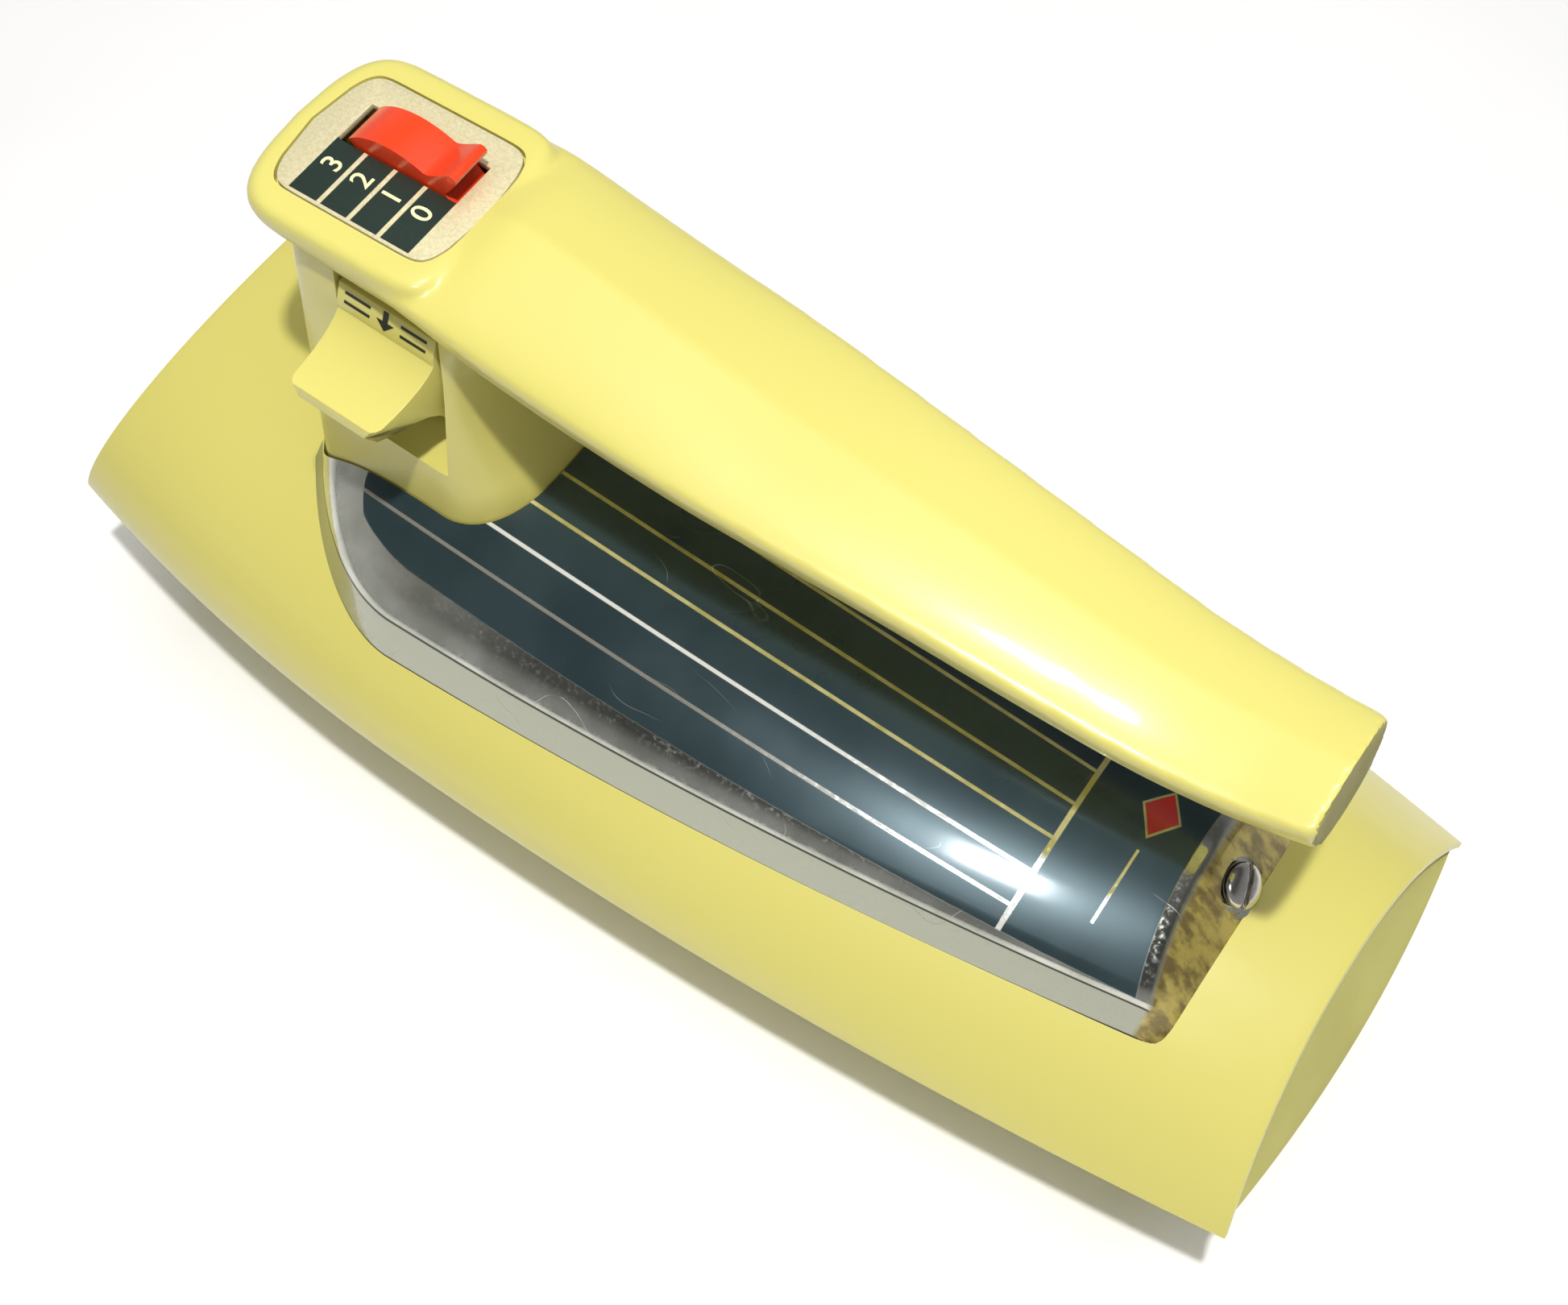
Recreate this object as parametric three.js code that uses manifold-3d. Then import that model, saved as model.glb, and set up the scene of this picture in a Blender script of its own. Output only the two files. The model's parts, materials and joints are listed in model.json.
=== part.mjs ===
// Portable hand mixer: flared housing, raised deck cover, pillar, cantilevered handle,
// beater ejector, thumb-drum speed switch and a worm drive for two beater sockets.
// Millimetres. +X runs to the heel, -X to the nose, -Y is the user's left, +Z is up.
// The origin is the middle of the flat underside.
import * as THREE from 'three';
import { mergeVertices } from 'three/addons/utils/BufferGeometryUtils.js';
import Module from 'manifold-3d';

const wasm = await Module();
wasm.setup();

// ---- driving dimensions ------------------------------------------------------------
const GAP = 0.3;                 // clearance between neighbouring pieces
const HALF_LENGTH = 110;         // nose to heel is twice this
const RIM_Z = 34;                // height of the sharp lower edge of the flared housing
const SKIN = 2.4;                // moulded wall of the housing
const NOSE_RAKE = 0.364;         // how far the ends lean inwards for each mm of height
const HEEL_RAKE = 0.30;
const BELLY_WALL = 2.5;
const WIDEST_X = -35;
const WIDEST = 49;               // half width at the widest station
const SPINE = 24.5;              // height of the housing's crown above the rim
const DECK_FRONT = -70;
const DECK_REAR = 88;
const DECK_SKIN = 1.2;
const DECK_CROWN = 12.5;         // fall from the deck's centre line to its rolled edge
const REAR_CROWN = 9.5;          // the same fall at the rear, where the section is flatter
const PILLAR_FRONT = -69;
const PILLAR_SIDE_END = -42;
const HANDLE_START = -78.2;
const HANDLE_END = 90.4;
const HANDLE_WALL = 2.6;
const PLATE_X = -57.5;           // centre of the switch plate and of the thumb drum
const PLATE_LENGTH = 26.6;
const PLATE_WIDTH = 22.4;
const PLATE_Z = RIM_Z + 80.6;    // top of the plate at its centre
const PLATE_TILT = Math.atan(0.075);
const SLOT_LENGTH = 21.2;
const SLOT_WIDTH = 7.2;
const SLOT_Y = 2.9;
const DRUM_RADIUS = 12.5;
const DRUM_Z = RIM_Z + 71.6;
const RECESS_FRONT = -58.9;
const RECESS_REAR = -40.6;
const LEVER_PLAY = 0.6;          // side clearance of the ejector lever in its recess
const ROD_X = -52;               // ejector rod, in the middle of the pillar
const AXLE_RADIUS = 1.45;        // axle of the thumb drum
const AXLE_BORE = 1.75;
const MOTOR_Z = 29.5;            // height of the motor shaft
const SHAFT_RADIUS = 2.5;
const SHAFT_BORE = 2.8;
const HUB_RADIUS = 8;            // hubs of the brackets, and the commutator
const BUSH_RADIUS = 5;
const FRONT_BEARING = [-88.5, -83.5];
const MIDDLE_BEARING = [-53.5, -47.5];
const REAR_BEARING = [55, 60];
const GEAR_X = -72;
const GEAR_Y = 13.8;             // half the distance between the beater sockets
const SOCKET_BORE = 3.2;
const SOCKET_HOLE = 7.2;         // holes in the belly for the beater sockets
const SCREW_PILOT = 1.7;
const SCREW_CLEARANCE = 1.9;
const TEETH = 20;

// ---- materials ---------------------------------------------------------------------
const paint = (color, roughness, metalness) =>
  new THREE.MeshStandardMaterial({ color, roughness, metalness });
const YELLOW = [0xf0e46e, 0.35, 0];
const CHROME = [0xc9ccd0, 0.15, 1];
const DECK = [0x374b52, 0.3, 0.4];
const PLATE = [0xcdc396, 0.4, 0.6];
const RED = [0xe63719, 0.35, 0];
const STEEL = [0x9a9da1, 0.35, 1];
const LAMINATION = [0x5c6064, 0.55, 0.8];
const COPPER = [0xb06a35, 0.4, 0.8];
const BRONZE = [0xa77f43, 0.45, 0.9];
const BRASS = [0xc2a14d, 0.35, 1];
const CARBON = [0x2a2a2b, 0.8, 0];
const PHENOLIC = [0x3a2a20, 0.6, 0];
const NYLON = [0xe9e6da, 0.5, 0];
const DIECAST = [0xa3a5a6, 0.6, 0.7];
const BLACK = [0x1c1c1c, 0.6, 0];

// ---- geometry helpers ----------------------------------------------------------------
const group = new THREE.Group();

function toSolid(geometry) {
  const bare = geometry.clone();
  bare.deleteAttribute('normal');
  bare.deleteAttribute('uv');
  const merged = mergeVertices(bare, 1e-4);
  return new wasm.Manifold(new wasm.Mesh({
    numProp: 3,
    vertProperties: new Float32Array(merged.attributes.position.array),
    triVerts: new Uint32Array(merged.index.array),
  }));
}

function toGeometry(solid) {
  const mesh = solid.getMesh();
  const geometry = new THREE.BufferGeometry();
  const points = new Float32Array(mesh.numVert * 3);
  for (let i = 0; i < mesh.numVert; i += 1) {
    for (let k = 0; k < 3; k += 1) points[3 * i + k] = mesh.vertProperties[mesh.numProp * i + k];
  }
  geometry.setAttribute('position', new THREE.BufferAttribute(points, 3));
  geometry.setIndex(Array.from(mesh.triVerts));
  geometry.computeVertexNormals();
  return geometry;
}

function piece(name, solid, finish) {
  const mesh = new THREE.Mesh(toGeometry(solid), paint(...finish));
  mesh.name = name;
  group.add(mesh);
  return mesh;
}

// A box whose points are moved by place(u, v, w), each running from 0 to 1.
function warpBox(nu, nv, nw, place) {
  const geometry = new THREE.BoxGeometry(1, 1, 1, nu, nv, nw);
  const at = geometry.attributes.position;
  for (let i = 0; i < at.count; i += 1) {
    const p = place(at.getX(i) + 0.5, at.getY(i) + 0.5, at.getZ(i) + 0.5);
    at.setXYZ(i, ...p);
  }
  return toSolid(geometry);
}

// A closed tube with rings ring(angle, level): level runs from 0 to levels along +Z.
function ringLoft(segments, levels, ring) {
  const geometry = new THREE.CylinderGeometry(1, 1, 1, segments, levels);
  geometry.rotateX(Math.PI / 2);
  const at = geometry.attributes.position;
  const middle = (level) => {
    const sum = [0, 0, 0];
    for (let k = 0; k < segments; k += 1) {
      ring((2 * Math.PI * k) / segments, level).forEach((value, j) => { sum[j] += value; });
    }
    return sum.map((value) => value / segments);
  };
  for (let i = 0; i < at.count; i += 1) {
    const level = Math.round((at.getZ(i) + 0.5) * levels);
    const onAxis = Math.hypot(at.getX(i), at.getY(i)) < 0.5;
    const angle = Math.atan2(at.getY(i), at.getX(i));
    at.setXYZ(i, ...(onAxis ? middle(level) : ring(angle, level)));
  }
  return toSolid(geometry);
}

const box = (x0, x1, y0, y1, z0, z1) => toSolid(
  new THREE.BoxGeometry(x1 - x0, y1 - y0, z1 - z0)
    .translate((x0 + x1) / 2, (y0 + y1) / 2, (z0 + z1) / 2),
);

// A round bar along an axis ('x', 'y' or 'z') from a to b through the point at.
function rod(axis, radius, a, b, at, segments = 18) {
  const geometry = new THREE.CylinderGeometry(radius, radius, b - a, segments);
  const middle = (a + b) / 2;
  if (axis === 'x') geometry.rotateZ(-Math.PI / 2).translate(middle, at[0], at[1]);
  if (axis === 'y') geometry.translate(at[0], middle, at[1]);
  if (axis === 'z') geometry.rotateX(Math.PI / 2).translate(at[0], at[1], middle);
  return toSolid(geometry);
}

// A turned piece: profile of [radius, height], starting and ending on the axis.
function turned(profile, segments = 24) {
  const points = profile.map(([r, z]) => new THREE.Vector2(r, z));
  return toSolid(new THREE.LatheGeometry(points, segments).rotateX(Math.PI / 2));
}

// An outline in X and Y, raised from z0 to z1.
function prism(points, z0, z1) {
  const shape = new THREE.Shape(points.map(([x, y]) => new THREE.Vector2(x, y)));
  const depth = z1 - z0;
  return toSolid(new THREE.ExtrudeGeometry(shape, { depth, bevelEnabled: false }).translate(0, 0, z0));
}

function signedPower(value, power) {
  return Math.abs(value) < 1e-7 ? 0 : Math.sign(value) * Math.abs(value) ** power;
}
const lerp = (a, b, t) => a + (b - a) * t;

// Smooth reading of a short list of stations [x, a, b, ...].
function station(list, x) {
  let k = 0;
  while (k < list.length - 2 && x > list[k + 1][0]) k += 1;
  const t = Math.min(1, Math.max(0, (x - list[k][0]) / (list[k + 1][0] - list[k][0])));
  return list[k].map((value, j) => lerp(value, list[k + 1][j], t));
}

// ---- flared housing -------------------------------------------------------------------
function halfWidth(x) {
  const rear = x > WIDEST_X;
  const reach = rear ? HALF_LENGTH - WIDEST_X : HALF_LENGTH + WIDEST_X;
  return WIDEST - (rear ? 12 : 8.5) * ((x - WIDEST_X) / reach) ** 2;
}

const crown = (x) => SPINE - 3.6 * (x / HALF_LENGTH) ** 4;
const ARCH = 2.2;                                     // sharpness of the arch across
const shoulder = (x) => lerp(2.2, 1.05, Math.min(1, Math.max(0, (x + HALF_LENGTH) / 200)));

// Height of the housing's skin above the rim.
function archHeight(x, y) {
  const across = Math.min(1, Math.abs(y) / halfWidth(x));
  return crown(x) * (1 - across ** ARCH) ** (1 / shoulder(x));
}

// A point of the canopy: u along, s from -1 to 1 across, inset into the wall.
function canopyPoint(u, s, inset) {
  const x = u * HALF_LENGTH;
  const turn = (s * Math.PI) / 2;
  const y = (halfWidth(x) - inset) * signedPower(Math.sin(turn), 2 / ARCH);
  const z = (crown(x) - inset) * Math.max(0, Math.cos(turn)) ** (2 / shoulder(x));
  const lean = u < 0 ? NOSE_RAKE : -HEEL_RAKE;
  return [x + lean * z * Math.abs(u) ** 3, y, RIM_Z + z];
}

// Everything under the canopy's skin grown outwards by clearance.
const housingBlock = (clearance) => warpBox(18, 14, 1, (u, v, w) => {
  const p = canopyPoint(2 * u - 1, 2 * v - 1, -clearance);
  return w > 0.5 ? p : [(2 * u - 1) * HALF_LENGTH, p[1], RIM_Z - 20];
});
const insideHousing = () => housingBlock(-SKIN - GAP);

const bossPlaces = [[-84, 35.5], [-84, -35.5], [90, 32.2], [90, -32.2]];

function upperHousing() {
  let shell = warpBox(18, 14, 1, (u, v, w) => canopyPoint(2 * u - 1, 2 * v - 1, w > 0.5 ? 0 : SKIN));
  const under = housingBlock(-SKIN / 2);
  for (const [x, y] of bossPlaces) {
    shell = shell.add(rod('z', 3.6, RIM_Z + 2.6, RIM_Z + 30, [x, y], 16).intersect(under));
    shell = shell.subtract(rod('z', SCREW_PILOT, RIM_Z, RIM_Z + 6.6, [x, y], 12));
  }
  // ways through the crown for the ejector rod, the leads and the deck screw
  shell = shell.subtract(box(-64, -44, -6, 6, RIM_Z + 10, RIM_Z + 40));
  return shell.subtract(deckScrewHole());
}

// ---- belly and end panels ---------------------------------------------------------------
const bellyRings = [[0, 86, 28], [1.2, 89, 31], [4, 92.2, 34], [11, 94, 35.6], [34.2, 95.5, 37]];

function belly(inset, top) {
  return ringLoft(32, bellyRings.length - 1, (angle, level) => {
    const [z, a, b] = bellyRings[level];
    const x = 2 + (a - inset) * signedPower(Math.cos(angle), 0.5);
    const y = (b - inset) * signedPower(Math.sin(angle), 0.5);
    return [x, y, level === bellyRings.length - 1 ? top : z + inset];
  });
}

function skirtOutline(inset) {
  const points = [];
  const reach = HALF_LENGTH - inset;
  const steps = 14;
  for (let i = 0; i <= steps; i += 1) {
    const x = lerp(-reach, reach, i / steps);
    points.push([x, -(halfWidth(x) - inset)]);
  }
  return points.concat(points.map(([x, y]) => [x, -y]).reverse());
}

function lowerHousing() {
  const rimPlate = prism(skirtOutline(SKIN), RIM_Z, RIM_Z + 2.2).intersect(insideHousing());
  let tub = belly(0, RIM_Z + 0.2).add(rimPlate);
  tub = tub.subtract(belly(BELLY_WALL, RIM_Z + 6));
  for (const side of [-1, 1]) {
    tub = tub.subtract(rod('z', SOCKET_HOLE, -1, 6, [GEAR_X, side * GEAR_Y], 28));
  }
  for (const [x, y] of bossPlaces) {
    tub = tub.subtract(rod('z', SCREW_CLEARANCE, -1, RIM_Z + 4, [x, y], 12));
  }
  return tub.subtract(box(90, 100, -10.3, 10.3, 7.7, 22.3));
}

const PANEL_FOOT = RIM_Z + 2.5;
const PANEL_WALL = 2;
const PANEL_SPAN = 0.92;         // share of the arch's width that a panel closes
const PANEL_SETBACK = 1.2;

// Flat panel that closes an end, leaning further in than the lip that overhangs it.
function endPanel(direction) {
  const inset = SKIN + GAP;
  const lean = direction < 0 ? NOSE_RAKE + 0.1 : HEEL_RAKE + 0.13;
  const panel = warpBox(1, 14, 1, (u, v, w) => {
    const p = canopyPoint(direction, PANEL_SPAN * (2 * v - 1), inset);
    const z = w > 0.5 ? p[2] - GAP : PANEL_FOOT;
    const back = direction > 0 ? 1 - u : u;
    const x = direction * (HALF_LENGTH - PANEL_SETBACK - lean * (z - RIM_Z) - PANEL_WALL * back);
    return [x, p[1] * 0.985, Math.max(z, PANEL_FOOT + (w > 0.5 ? 0.6 : 0))];
  });
  return toOutward(panel).intersect(insideHousing());
}

// ---- deck cover -----------------------------------------------------------------------
function deckHalfWidth(x) {
  const front = Math.min(1, Math.max(0, (-42 - x) / 28));
  const rear = Math.min(1, Math.max(0, (x + 42) / 130));
  return 39.9 - 17.9 * front ** 1.9 - 5.9 * rear - 10.1 * rear ** 2;
}

const deckSpine = (x) => RIM_Z + 35.8 - 0.0314 * (x + 28.8);

const REAR_WALL_START = 0.94;    // share of the deck's length that its top takes
const SIDE_WALL_START = 0.9;     // share of the half width that its top takes

// A point of the deck's outside: u along from the front, s from -1 to 1 across.
function deckPoint(u, s, inset) {
  const main = Math.min(1, u / REAR_WALL_START);
  const rearTop = 80 + 4.2 * Math.abs(s) ** 2.2 - inset;
  const x = lerp(DECK_FRONT, rearTop, main);
  const base = deckHalfWidth(x);
  const rim = base - 3.2;
  const lift = Math.min(1, Math.abs(s) / SIDE_WALL_START);
  const wall = Math.max(0, (Math.abs(s) - SIDE_WALL_START) / (1 - SIDE_WALL_START));
  const y = Math.sign(s) * (lerp(rim * lift, base, wall) - inset);
  const flat = Math.min(1, Math.max(0, (x + 20) / 100));
  const fall = lerp(DECK_CROWN, REAR_CROWN, flat) * lift ** lerp(2, 1.6, flat);
  let z = deckSpine(x) - fall - inset;
  if (wall > 0) z = lerp(z, RIM_Z + archHeight(x, base) - 1, wall);
  if (u <= REAR_WALL_START) return [x, y, z];
  return [DECK_REAR - inset, y, Math.min(z, RIM_Z + archHeight(DECK_REAR, y) - 1)];
}

function deckBlock(inset) {
  return warpBox(17, 20, 1, (u, v, w) => {
    const s = 2 * v - 1;
    const p = deckPoint(u, s, inset);
    return w > 0.5 ? p : [lerp(DECK_FRONT - 1, DECK_REAR, u), p[1], RIM_Z + 4];
  });
}

const SCREW_TILT = 40;                                // degrees that the deck screw leans rearwards
const SCREW_AT = [85, RIM_Z + 25.8];                  // under its head

function alongScrew(solid) {
  return solid.rotate([0, SCREW_TILT, 0]).translate([SCREW_AT[0], 0, SCREW_AT[1]]);
}

function deckScrewHole() {
  return alongScrew(rod('z', SCREW_PILOT, -16, 1, [0, 0], 16));
}

function deckScrew() {
  const head = turned([[0, -8.5], [1.4, -8.5], [1.4, 0], [3.4, 0], [3.4, 1.2], [2.6, 1.9], [0, 2.2]], 20);
  return alongScrew(head.subtract(box(-4, 4, -0.45, 0.45, 1, 4)));
}

function deckCover() {
  const screwSeat = alongScrew(rod('z', 5, -1.4, -GAP, [0, 0], 20)).intersect(deckBlock(0));
  let cover = deckBlock(0).subtract(deckBlock(DECK_SKIN));
  cover = cover.subtract(alongScrew(rod('z', 4.2, -GAP, 8, [0, 0], 20))).add(screwSeat);
  cover = cover.subtract(housingBlock(GAP)).subtract(deckScrewHole());
  cover = cover.subtract(pillar(GAP, RIM_Z + 10, RIM_Z + 60));
  return cover.subtract(box(DECK_FRONT - 5, PILLAR_FRONT + 4, -19, 19, RIM_Z, RIM_Z + 60));
}

// ---- pillar, head and handle --------------------------------------------------------------
const pillarSide = (z) => 21.7 - 0.162 * (z - RIM_Z - 28);
// stations: height above the rim, rear reach on the centre line
const pillarRear = [[10, -29], [30, -29.5], [36, -30.5], [42, -33], [50, -35.5], [76, -37]];

function pillar(grow, z0, z1) {
  const levels = 5;
  return ringLoft(28, levels, (angle, level) => {
    const z = lerp(z0, z1, level / levels);
    const side = pillarSide(Math.max(z, RIM_Z + 20)) + grow;
    const rear = station(pillarRear, z - RIM_Z)[1] + grow;
    const c = Math.cos(angle);
    const s = Math.sin(angle);
    if (c > 0) return [PILLAR_SIDE_END + (rear - PILLAR_SIDE_END) * c, side * signedPower(s, 0.75), z];
    const x = PILLAR_SIDE_END + (PILLAR_SIDE_END - PILLAR_FRONT + grow) * signedPower(c, 0.2);
    return [x, side * signedPower(s, 0.2), z];
  });
}

// handle stations: x, half width, height of the widest line, ridge height, underside height
const handleStations = [
  [-78.2, 11.2, 75.6, 78.4, 73.4], [-76.6, 13.4, 75.8, 79.0, 72.8], [-73, 15.0, 76, 79.6, 72.4],
  [-58, 15.8, 76.4, 80.6, 72], [-42, 15.6, 76, 82.2, 69.5], [-36, 15.6, 75.4, 83.4, 66.5],
  [-16, 16, 74.6, 81.2, 63.5], [0, 15.8, 73.8, 78.6, 62.3], [10, 15.3, 73.2, 77.2, 61.8],
  [30, 14, 71.8, 75.6, 60.8], [52, 12.6, 69.8, 73.7, 59.6], [70, 11.4, 69, 72.5, 59.4],
  [80, 10.4, 70.6, 73.9, 61], [87.5, 9.2, 72.6, 76, 63], [HANDLE_END, 8.4, 73.5, 77.1, 64.2],
];

function handleBar(inset, first, last) {
  const xs = handleStations.map((row) => row[0]).filter((x) => x > first && x < last);
  const path = [first, ...xs, last];
  return ringLoft(22, path.length - 1, (angle, level) => {
    const x = path[path.length - 1 - level];
    const [, width, widest, ridge, under] = station(handleStations, x);
    const flat = x < -44;
    const c = Math.cos(angle);
    const s = Math.sin(angle);
    const y = (width - inset) * signedPower(c, flat ? 0.4 : 0.8);
    const height = s > 0 ? ridge - widest : widest - under;
    const z = widest + (height - inset) * signedPower(s, flat ? 0.4 : 0.95);
    return [x, -y, RIM_Z + z];
  });
}

const underCover = (clearance) => warpBox(10, 1, 1, (u, v, w) => {
  const x = lerp(-26 + clearance, 85 - clearance, u);
  const [, , widest, , under] = station(handleStations, x);
  return [x, (v - 0.5) * 50, RIM_Z + (w > 0.5 ? widest - 4 - clearance : under - 6)];
});

const gripScrewX = [-17, 70];
const handleHollow = () => handleBar(HANDLE_WALL, -33, 86.5);
const PLATE_FRONT_BOW = 2.4;
const PLATE_REAR_BOW = 2.2;

function plateBlock(inset, z0, z1) {
  const points = [];
  const half = PLATE_LENGTH / 2 - inset;
  const wide = PLATE_WIDTH / 2 - inset;
  const steps = 8;
  for (let i = 0; i <= steps; i += 1) {
    const t = 2 * (i / steps) - 1;
    points.push([half + PLATE_REAR_BOW * (1 - t ** 2), wide * t]);
  }
  for (let i = 0; i <= steps; i += 1) {
    const t = 1 - 2 * (i / steps);
    points.push([-half - PLATE_FRONT_BOW * (1 - t ** 2), wide * t]);
  }
  return tilted(prism(points, z0, z1));
}

// From the plate's own flat frame to its place in the head.
function tilted(solid) {
  return solid.rotate([0, -THREE.MathUtils.radToDeg(PLATE_TILT), 0]).translate([PLATE_X, 0, PLATE_Z]);
}

// Cover on the pillar's hidden front face, over the space that the thumb drum swings into.
function drumPocketCover() {
  const side = [[-66, 60], [-69.1, 60], [-71.8, 65.5], [-71.8, 74], [-66, 74]];
  return prism(side, -5.2, 5.2).rotate([90, 0, 0]).translate([0, SLOT_Y, RIM_Z]);
}

function handleShell() {
  let body = handleBar(0, HANDLE_START, HANDLE_END).add(pillar(0, RIM_Z + 12, RIM_Z + 75));
  body = body.add(drumPocketCover());
  body = body.subtract(housingBlock(GAP));
  body = body.subtract(handleHollow());
  for (const x of gripScrewX) {
    const top = RIM_Z + station(handleStations, x)[3] - 1.5;
    const foot = RIM_Z + station(handleStations, x)[2] - 2.5;
    body = body.add(rod('z', 3.2, foot, top, [x, 0], 14));
    body = body.subtract(rod('z', 1.6, foot - 1, Math.min(foot + 6, top - 1), [x, 0], 12));
  }
  body = body.subtract(underCover(0));
  // seat of the switch plate, the switch well under it and the pocket for the drum's front
  body = body.subtract(plateBlock(-GAP, -1.5, 6)).subtract(plateBlock(1.6, -5.2, 2));
  body = body.subtract(box(-67.5, -43.5, -9.6, 9.6, RIM_Z + 59.6, RIM_Z + 77));
  body = body.subtract(box(-70.4, -60, SLOT_Y - 3.8, SLOT_Y + 3.8, RIM_Z + 66.6, RIM_Z + 77));
  // cavity of the ejector's arm, ejector shaft and its way down
  body = body.subtract(box(-64, -41, -10.5, 7, RIM_Z + 42.5, RIM_Z + 62));
  body = body.subtract(rod('z', 6, RIM_Z + 34.5, RIM_Z + 44, [ROD_X, 0]));
  body = body.subtract(box(ROD_X - 4, ROD_X + 4, -4, 4, RIM_Z, RIM_Z + 36));
  // the recess that the ejector lever travels in
  body = body.subtract(box(RECESS_FRONT, RECESS_REAR, -30, -11.9, RIM_Z + 42, RIM_Z + 72.4));
  body = body.subtract(box(-52.2, -44.8, -19, -5, RIM_Z + 44.8, RIM_Z + 55.8));
  return body.subtract(rod('y', 1.65, -9.5, 12.2, [PLATE_X, DRUM_Z], 14));
}

function handleUnderside() {
  let cover = handleBar(0, HANDLE_START, HANDLE_END).intersect(underCover(GAP));
  cover = cover.subtract(handleHollow());
  for (const x of gripScrewX) {
    const [, , widest, , under] = station(handleStations, x);
    const seat = rod('z', 4.6, RIM_Z + under + 1.4, RIM_Z + widest - 4.4, [x, 0], 14);
    cover = cover.add(seat.subtract(rod('z', 3.3, RIM_Z + widest - 5.4, RIM_Z + widest, [x, 0], 14)));
    cover = cover.subtract(rod('z', 3.1, RIM_Z + under - 2, RIM_Z + under + 3, [x, 0], 16));
    cover = cover.subtract(rod('z', SCREW_CLEARANCE, RIM_Z + under - 2, RIM_Z + widest, [x, 0], 12));
  }
  return cover;
}

function gripScrew(x) {
  const [, , widest, , under] = station(handleStations, x);
  const seat = RIM_Z + under + 2.7;
  const tip = RIM_Z + widest + 0.4;
  const screw = turned([[0, 0], [2.7, 0], [2.7, 1.7], [1.3, 1.9], [1.3, tip - seat], [0, tip - seat]], 14);
  return screw.subtract(box(-3, 3, -0.4, 0.4, -1, 0.9)).translate([x, 0, seat - 2]);
}

// ---- switch -----------------------------------------------------------------------------
function switchPlate() {
  const slot = tilted(box(-SLOT_LENGTH / 2, SLOT_LENGTH / 2, SLOT_Y - SLOT_WIDTH / 2,
    SLOT_Y + SLOT_WIDTH / 2, -4, 4));
  return plateBlock(0, -1.1, 0).subtract(slot);
}

// Thumb drum: a sector of a wheel with one raised ridge at its rear.
function switchDrum() {
  const outline = [];
  const arc = (from, to, radius, steps) => {
    for (let i = 0; i <= steps; i += 1) {
      const a = THREE.MathUtils.degToRad(lerp(from, to, i / steps));
      outline.push([radius * Math.sin(a), radius * Math.cos(a)]);
    }
  };
  arc(-44, 24, DRUM_RADIUS, 10);
  arc(29, 33, DRUM_RADIUS + 2.6, 1);
  arc(35, 38, DRUM_RADIUS + 5.3, 1);
  arc(42, 95, DRUM_RADIUS, 7);
  arc(100, 250, 3.6, 6);
  arc(270, 300, 3.6, 1);
  const wide = SLOT_WIDTH - 0.6;
  const wheel = prism(outline.reverse(), -wide / 2, wide / 2);
  const solid = wheel.subtract(rod('z', AXLE_BORE, -9, 9, [0, 0], 14));
  return solid.rotate([90, 0, 0]).translate([PLATE_X, SLOT_Y, DRUM_Z]);
}

function switchBase() {
  let base = box(-67.2, -47, -7.8, 8.8, RIM_Z + 60.9, RIM_Z + 64);
  for (const y of [-2, 7]) {
    const cheek = box(PLATE_X - 4, PLATE_X + 4, y === 7 ? 6.9 : -2.9, y === 7 ? 8.4 : -1.4,
      RIM_Z + 61.5, DRUM_Z + 3.5);
    base = base.add(cheek);
  }
  return base.subtract(rod('y', AXLE_BORE, -12, 12, [PLATE_X, DRUM_Z], 14));
}

function contactBlade(index) {
  const x = -64.6 + 4.7 * index;
  const foot = box(x - 1.5, x + 1.5, -7.4, -3.2, RIM_Z + 64.3, RIM_Z + 64.9);
  return foot.add(box(x - 1.5, x + 1.5, -3.9, -3.3, RIM_Z + 64.3, RIM_Z + 67.5));
}

// ---- beater ejector ------------------------------------------------------------------------
const YOKE_TOP = 48.7;
const TIP_TAPER = 0.75;          // how much the lever narrows on each side towards its tip

// The lever's side view in Y and height above the rim: text face, scoop, thumb tip, back.
function leverProfile() {
  const points = [[-12.4, 52], [-12.4, 70.4], [0.4 - pillarSide(RIM_Z + 70.4), 70.4]];
  const foot = 0.4 - pillarSide(RIM_Z + 66.5);
  const steps = 7;
  for (let i = 0; i <= steps; i += 1) {
    const turn = (i / steps) * (Math.PI / 2);
    points.push([foot - 13 * (1 - Math.cos(turn)), 66.5 - 4.1 * Math.sin(turn)]);
  }
  return points.concat([[-28.2, 61], [-22.5, 59.6], [-18, 57.4], [-15.8, 54], [-15.4, 52]]);
}

function ejectorLever() {
  const half = (RECESS_REAR - RECESS_FRONT) / 2 - LEVER_PLAY;
  const middle = (RECESS_FRONT + RECESS_REAR) / 2;
  const shape = new THREE.Shape(leverProfile().map(([y, z]) => new THREE.Vector2(y, z)));
  const geometry = new THREE.ExtrudeGeometry(shape, { depth: 2, bevelEnabled: false });
  const at = geometry.attributes.position;
  for (let i = 0; i < at.count; i += 1) {
    const y = at.getX(i);
    const taper = Math.min(1, Math.max(0, (-16 - y) / 12));
    const x = middle + (at.getZ(i) - 1) * lerp(half, half - TIP_TAPER, taper);
    at.setXYZ(i, x, y, RIM_Z + at.getY(i));
  }
  return toSolid(geometry)
    .add(box(-51.5, -45.5, -13, 0, RIM_Z + 52, RIM_Z + 55))
    .add(box(-54.5, -45.5, -6, 2.4, RIM_Z + 52, RIM_Z + 55));
}

// Turns a solid whose surface faces inwards the right way out.
function toOutward(solid) {
  return solid.volume() < 0 ? solid.mirror([1, 0, 0]) : solid;
}

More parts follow.
